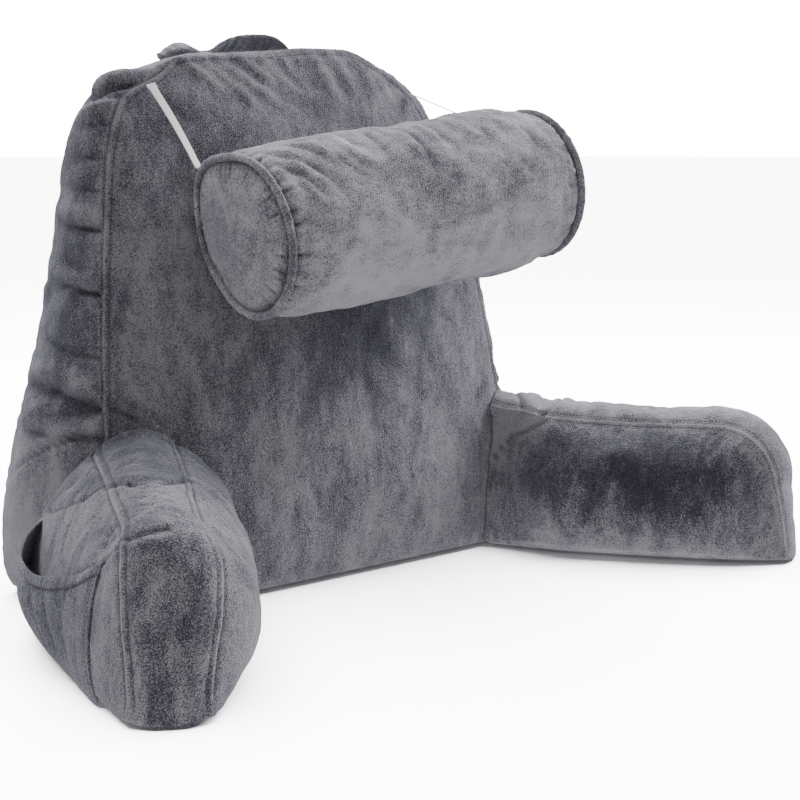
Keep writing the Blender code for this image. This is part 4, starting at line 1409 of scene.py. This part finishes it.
# ---------------------------------------------------------------- finishes
class Wire:
    """A shader value; sums and products with it add Math nodes."""

    def __init__(self, tree, socket):
        self.tree = tree
        self.socket = socket

    def feed(self, socket):
        self.tree.links.new(self.socket, socket)

    def _join(self, operation, first, second):
        node = self.tree.nodes.new("ShaderNodeMath")
        node.operation = operation
        fill(node, {0: first, 1: second})
        return Wire(self.tree, node.outputs[0])

    def __add__(self, other):
        return self._join("ADD", self, other)

    __radd__ = __add__

    def __sub__(self, other):
        return self._join("SUBTRACT", self, other)

    def __rsub__(self, other):
        return self._join("SUBTRACT", other, self)

    def __mul__(self, other):
        return self._join("MULTIPLY", self, other)

    __rmul__ = __mul__

    def __pow__(self, other):
        return self._join("POWER", self, other)


def fill(node, sockets):
    """Sets a node's sockets, by name or number, to values or links."""
    for key, value in sockets.items():
        if isinstance(value, Wire):
            value.feed(node.inputs[key])
        else:
            node.inputs[key].default_value = value


class Finish:
    """A material, built up node by node."""

    def __init__(self, name, sockets):
        self.material = bpy.data.materials.new(name)
        self.material.use_nodes = True
        self.tree = self.material.node_tree
        self.shader = self.tree.nodes["Principled BSDF"]
        fill(self.shader, sockets)

    def node(self, kind, settings, sockets, output=0):
        """One output of a new node, by name or number."""
        node = self.tree.nodes.new(kind)
        for key, value in settings.items():
            setattr(node, key, value)
        fill(node, sockets)
        return Wire(self.tree, node.outputs[output])

    def places(self, stretch=(1.0, 1.0, 1.0), turn=(0.0, 0.0, 0.0)):
        """Places on the object, stretched for a pattern that runs one way."""
        where = self.node("ShaderNodeTexCoord", {}, {}, "Object")
        turn = [math.radians(value) for value in turn]
        sockets = {"Vector": where, "Rotation": turn, "Scale": stretch}
        return self.node("ShaderNodeMapping", {}, sockets)

    def clouds(self, places, size, detail=2.0, rough=0.5, warp=0.0):
        sockets = {"Vector": places, "Scale": 1 / size, "Detail": detail, "Roughness": rough}
        return self.node("ShaderNodeTexNoise", {}, {**sockets, "Distortion": warp}, "Fac")

    def mark(self, name):
        """A value kept at the points of the mesh."""
        return self.node("ShaderNodeAttribute", {"attribute_name": name}, {}, "Fac")

    def spread(self, value, low, high):
        """The value, from 0 at low to 1 at high."""
        sockets = {"Value": value, "From Min": low, "From Max": high}
        return self.node("ShaderNodeMapRange", {"interpolation_type": "SMOOTHSTEP"}, sockets)

    def blend(self, amount, first, second):
        sockets = {0: amount, 6: first, 7: second}
        return self.node("ShaderNodeMix", {"data_type": "RGBA"}, sockets, 2)

    def coloured(self, colour):
        fill(self.shader, {"Base Color": colour})

    def raised(self, height, distance):
        sockets = {"Height": height, "Distance": distance, "Strength": 1.0}
        fill(self.shader, {"Normal": self.node("ShaderNodeBump", {}, sockets)})


DARK_PILE = (0.032, 0.030, 0.048, 1.0)
LIGHT_PILE = (0.280, 0.273, 0.302, 1.0)
ROLL_DARK = (0.080, 0.078, 0.102, 1.0)
ROLL_LIGHT = (0.455, 0.448, 0.480, 1.0)
ARM_LIGHT = (0.330, 0.322, 0.354, 1.0)
CREASE_SHADE_TONE = 0.25  # the share of the dark pile's tone left where shade is painted into creases, grooves and seams
PATCH_SIZE = 0.16
CRUSH_SIZE = 0.050
SCUFF_SIZE = 0.010
PILE_SIZE = 0.0012
NAP_RANGE = (3.68, 6.88)  # from the darkest to the palest lie of the pile
PLUSH_SHADER = {
    "Roughness": 0.9,
    "Sheen Weight": 0.45,
    "Sheen Roughness": 0.4,
    "Sheen Tint": (0.86, 0.88, 1.0, 1.0),
    "Specular IOR Level": 0.2,
}


def plush(name, dark, light, stretch, turn=(0.0, 0.0, 0.0)):
    """Short pile, lighter or darker as it lies, crushed in patches and streaks, with painted shade,
    painted light and painted highlights from the marks of each mesh.
    """
    finish = Finish(name, PLUSH_SHADER)
    drawn = finish.places(stretch, turn)
    plain = finish.places()
    patches = finish.clouds(plain, PATCH_SIZE, 4.0, 0.55, 0.3)
    crush = finish.spread(finish.clouds(drawn, CRUSH_SIZE, 6.0, 0.62, 0.5), 0.30, 0.70)
    scuffs = finish.spread(finish.clouds(drawn, SCUFF_SIZE, 4.0, 0.65, 0.4), 0.34, 0.66)
    pile = finish.clouds(plain, PILE_SIZE, 1.0, 0.6)
    pressed_and_crease_shade, ridge_highlight, deep_pile_and_shade = (finish.mark(key) for key in ("pressed_and_crease_shade", "ridge_highlight", "deep_pile_and_shade"))
    # How far each layer lightens the pile, against the range below. The noises are the pile's own
    # tone; the marks add painted highlights, painted light and painted shade, and pile that lies
    # deeper.
    nap = patches * (2.2 - deep_pile_and_shade * 1.4) + crush * 1.15 + scuffs * 0.7 + pile * 6.4
    nap = nap + ridge_highlight * 0.45 - pressed_and_crease_shade * 0.6 + finish.mark("pale_pile_and_light") * 1.2 - deep_pile_and_shade * 0.55
    colour = finish.blend(finish.spread(nap, *NAP_RANGE), dark, light)
    crease_shade_tone = (*(CREASE_SHADE_TONE * part for part in dark[:3]), 1.0)
    # Painted shade darkens creases, grooves and seam lines towards the crease tone, where pile is
    # also pressed.
    finish.coloured(finish.blend(pressed_and_crease_shade * 0.55, colour, crease_shade_tone))
    finish.raised(pile * 1.7 + scuffs * 0.25 + crush * 0.25, 0.0014)
    return finish.material


def sewing_thread(name):
    finish = Finish(name, {"Roughness": 0.6})
    twist = finish.clouds(finish.places(), 0.0008, 1.0)
    finish.coloured(finish.blend(twist, (0.028, 0.028, 0.036, 1), (0.075, 0.075, 0.09, 1)))
    return finish.material


def elastic(name):
    finish = Finish(name, {"Roughness": 0.7})
    ribs = finish.clouds(finish.places((1.0, 1.0, 0.2)), 0.0012, 1.0)
    finish.coloured(finish.blend(ribs, (0.84, 0.84, 0.82, 1), (0.97, 0.97, 0.95, 1)))
    finish.raised(ribs, 0.0004)
    return finish.material


# ---------------------------------------------------------------- studio
FLOOR_SIZE = 44.0
BACKDROP_RADIUS = 20.0
BACKDROP_GLOW = 18.0
WHITE = (1.0, 1.0, 1.0, 1.0)
FLOOR_PAINT = {"Roughness": 0.7, "Base Color": (0.88, 0.88, 0.885, 1.0)}
BACKDROP_PAINT = {
    "Roughness": 1.0,
    "Base Color": (0.0, 0.0, 0.0, 1.0),
    "Emission Color": WHITE,
    "Emission Strength": BACKDROP_GLOW,
}
WORLD_LIGHT = 0.42
WASH_POWER = 36.0  # on the floor alone, so that it stays pale under soft shadows
WASH_SPREAD = 75.0
# Columns: name, place, aimed at, width, height, watts.
LAMPS = (
    ("window", (2.2, -0.3, 1.5), (0.0, -0.1, 0.2), 1.4, 1.4, 130.0),
    ("rear_high", (0.4, 1.6, 2.0), (0.0, 0.0, 0.3), 1.8, 1.2, 140.0),
    ("front", (-1.0, -2.8, 0.9), (0.0, -0.1, 0.25), 1.6, 1.2, 8.0),
    ("left_high", (-1.5, 0.5, 2.0), (-0.2, 0.0, 0.2), 0.8, 0.8, 18.0),
    ("floor_bounce", (0.05, -0.35, 0.002), (0.05, -0.35, 1.0), 2.4, 1.8, 11.0),
)


def flat_floor(shape):
    half = FLOOR_SIZE / 2
    corners = ((-half, -half), (half, -half), (half, half), (-half, half))
    shape.faces.new([shape.verts.new((x, y, 0.0)) for x, y in corners])


def dome(shape):
    bmesh.ops.create_uvsphere(shape, u_segments=48, v_segments=24, radius=BACKDROP_RADIUS)


def room_piece(room, name, form, paint):
    """A part of the pale room, which does not light the pillow: the lamps and the world do."""
    mesh = bpy.data.meshes.new(name)
    shape = bmesh.new()
    form(shape)
    shape.to_mesh(mesh)
    shape.free()
    mesh.materials.append(Finish(name + "_paint", paint).material)
    thing = bpy.data.objects.new(name, mesh)
    room.objects.link(thing)
    for kind in ("diffuse", "glossy", "transmission"):
        setattr(thing, "visible_" + kind, False)
    return thing


def light(name, kind, **settings):
    data = bpy.data.lights.new(name, kind)
    for key, value in settings.items():
        setattr(data, key, value)
    lamp = bpy.data.objects.new(name, data)
    bpy.context.scene.collection.objects.link(lamp)
    return lamp


def studio():
    world = bpy.data.worlds.new("studio")
    world.use_nodes = True
    fill(world.node_tree.nodes["Background"], {"Color": WHITE, "Strength": WORLD_LIGHT})
    bpy.context.scene.world = world
    room = bpy.data.collections.new("room")
    bpy.context.scene.collection.children.link(room)
    room_piece(room, "floor", flat_floor, FLOOR_PAINT)
    room_piece(room, "backdrop", dome, BACKDROP_PAINT).visible_shadow = False
    wash = light("floor_wash", "SUN", energy=WASH_POWER, angle=math.radians(WASH_SPREAD))
    wash.light_linking.receiver_collection = room
    for name, place, target, width, height, watts in LAMPS:
        size = {"shape": "RECTANGLE", "size": width, "size_y": height}
        lamp = light(name, "AREA", energy=watts, **size)
        lamp.visible_camera = False
        lamp.location = place
        way = Vector(target) - Vector(place)
        lamp.rotation_euler = way.to_track_quat("-Z", "Y").to_euler()


# ---------------------------------------------------------------- build
ARM_CUT = 0.0012  # air between an arm and the back that it is sewn to
# Rings of stitches. Columns: part, which seam its distance is from, distance.
BACK_STITCHED = ((0, "off", 0.0), (0, "off", BAND), (2, "far", 0.0), (2, "far", BAND))
ARM_STITCHED = ((0, "off", 0.0), (1, "off", BAND), (1, "far", BAND), (2, "far", 0.0))


def cutter_of(shell):
    """A light copy of the back, a little larger, that shapes the arms' roots."""
    points = shell.points + shell.outward * normals_of(shell.points) * ARM_CUT
    light = np.concatenate([points[:1:2], points[2::3], points[-1:]])[:, ::4]
    return mesh_of("back_cutter", light)


def fit_to_back(piece, cutter):
    cut = piece.modifiers.new("fit", "BOOLEAN")
    cut.operation = "DIFFERENCE"
    cut.solver = "EXACT"
    cut.object = cutter
    piece.data = applied(piece)
    piece.data.shade_smooth()


def add(piece, node, finish, slot="plush"):
    piece.data.materials.clear()
    piece.data.materials.append(finish)
    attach(piece, "root")
    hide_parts(node)
    return piece


def above_floor(points):
    return points[:, 2] > STITCH_LOWEST


def outside_of(piece):
    """A test for points above the floor and outside a closed piece."""
    tree = BVHTree.FromObject(piece, bpy.context.evaluated_depsgraph_get())

    def test(points):
        found = [tree.find_nearest(Vector(point)) for point in points]
        clear = [(Vector(p) - hit[0]).dot(hit[1]) > 0 for p, hit in zip(points, found)]
        return above_floor(points) & np.array(clear)

    return test


def build():
    back_grey = plush("plush_back", DARK_PILE, LIGHT_PILE, (1.0, 1.0, 0.45))
    arm_grey = plush("plush_arm", DARK_PILE, ARM_LIGHT, (1.0, 1.0, 0.42))
    roll_grey = plush("plush_roll", ROLL_DARK, ROLL_LIGHT, (0.6, 1.0, 1.0), (0.0, 25.0, 0.0))
    white = elastic("elastic_white")
    thread = Thread()
    back = back_shell()
    dress_back(back)
    cutter = cutter_of(back)
    outside = outside_of(cutter)
    round_under(back)
    add(back.piece("back"), "back_cushion", back_grey)
    for part, key, distance in BACK_STITCHED:
        thread.sew_ring(back, part, key, distance, above_floor)
    for part, _, line in BACK_CROSS_SEAMS:
        thread.sew_across(back, part, line, above_floor)
    for name in ARMS:
        shell = arm_shell(name)
        dress_arm(name, shell)
        piece = shell.piece(name + "_cushion")
        fit_to_back(piece, cutter)
        add(piece, name, arm_grey)
        for part, key, distance in ARM_STITCHED:
            thread.sew_ring(shell, part, key, distance, outside)
        for part, _, line in ARM_CROSS_SEAMS[name]:
            thread.sew_across(shell, part, line, outside)
    bpy.data.objects.remove(cutter)
    roll = roll_shell()
    dress_roll(roll)
    add(roll.piece("roll"), "neck_roll", roll_grey)
    for side, end in (("left", -1), ("right", 1)):
        add(piping("cord_" + side, end), "piping_" + side, roll_grey)
    pocket = add(pocket_piece(thread), "pocket", arm_grey)
    for name in STRAPS:
        add(strap_piece(name), name, white, "elastic")
    add(handle_piece(), "handle", back_grey)
    stitches = new_piece("stitching", thread.points, thread.faces)
    stitches.data.materials.append(sewing_thread("thread_grey"))
    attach(stitches, "root")


studio()
build()
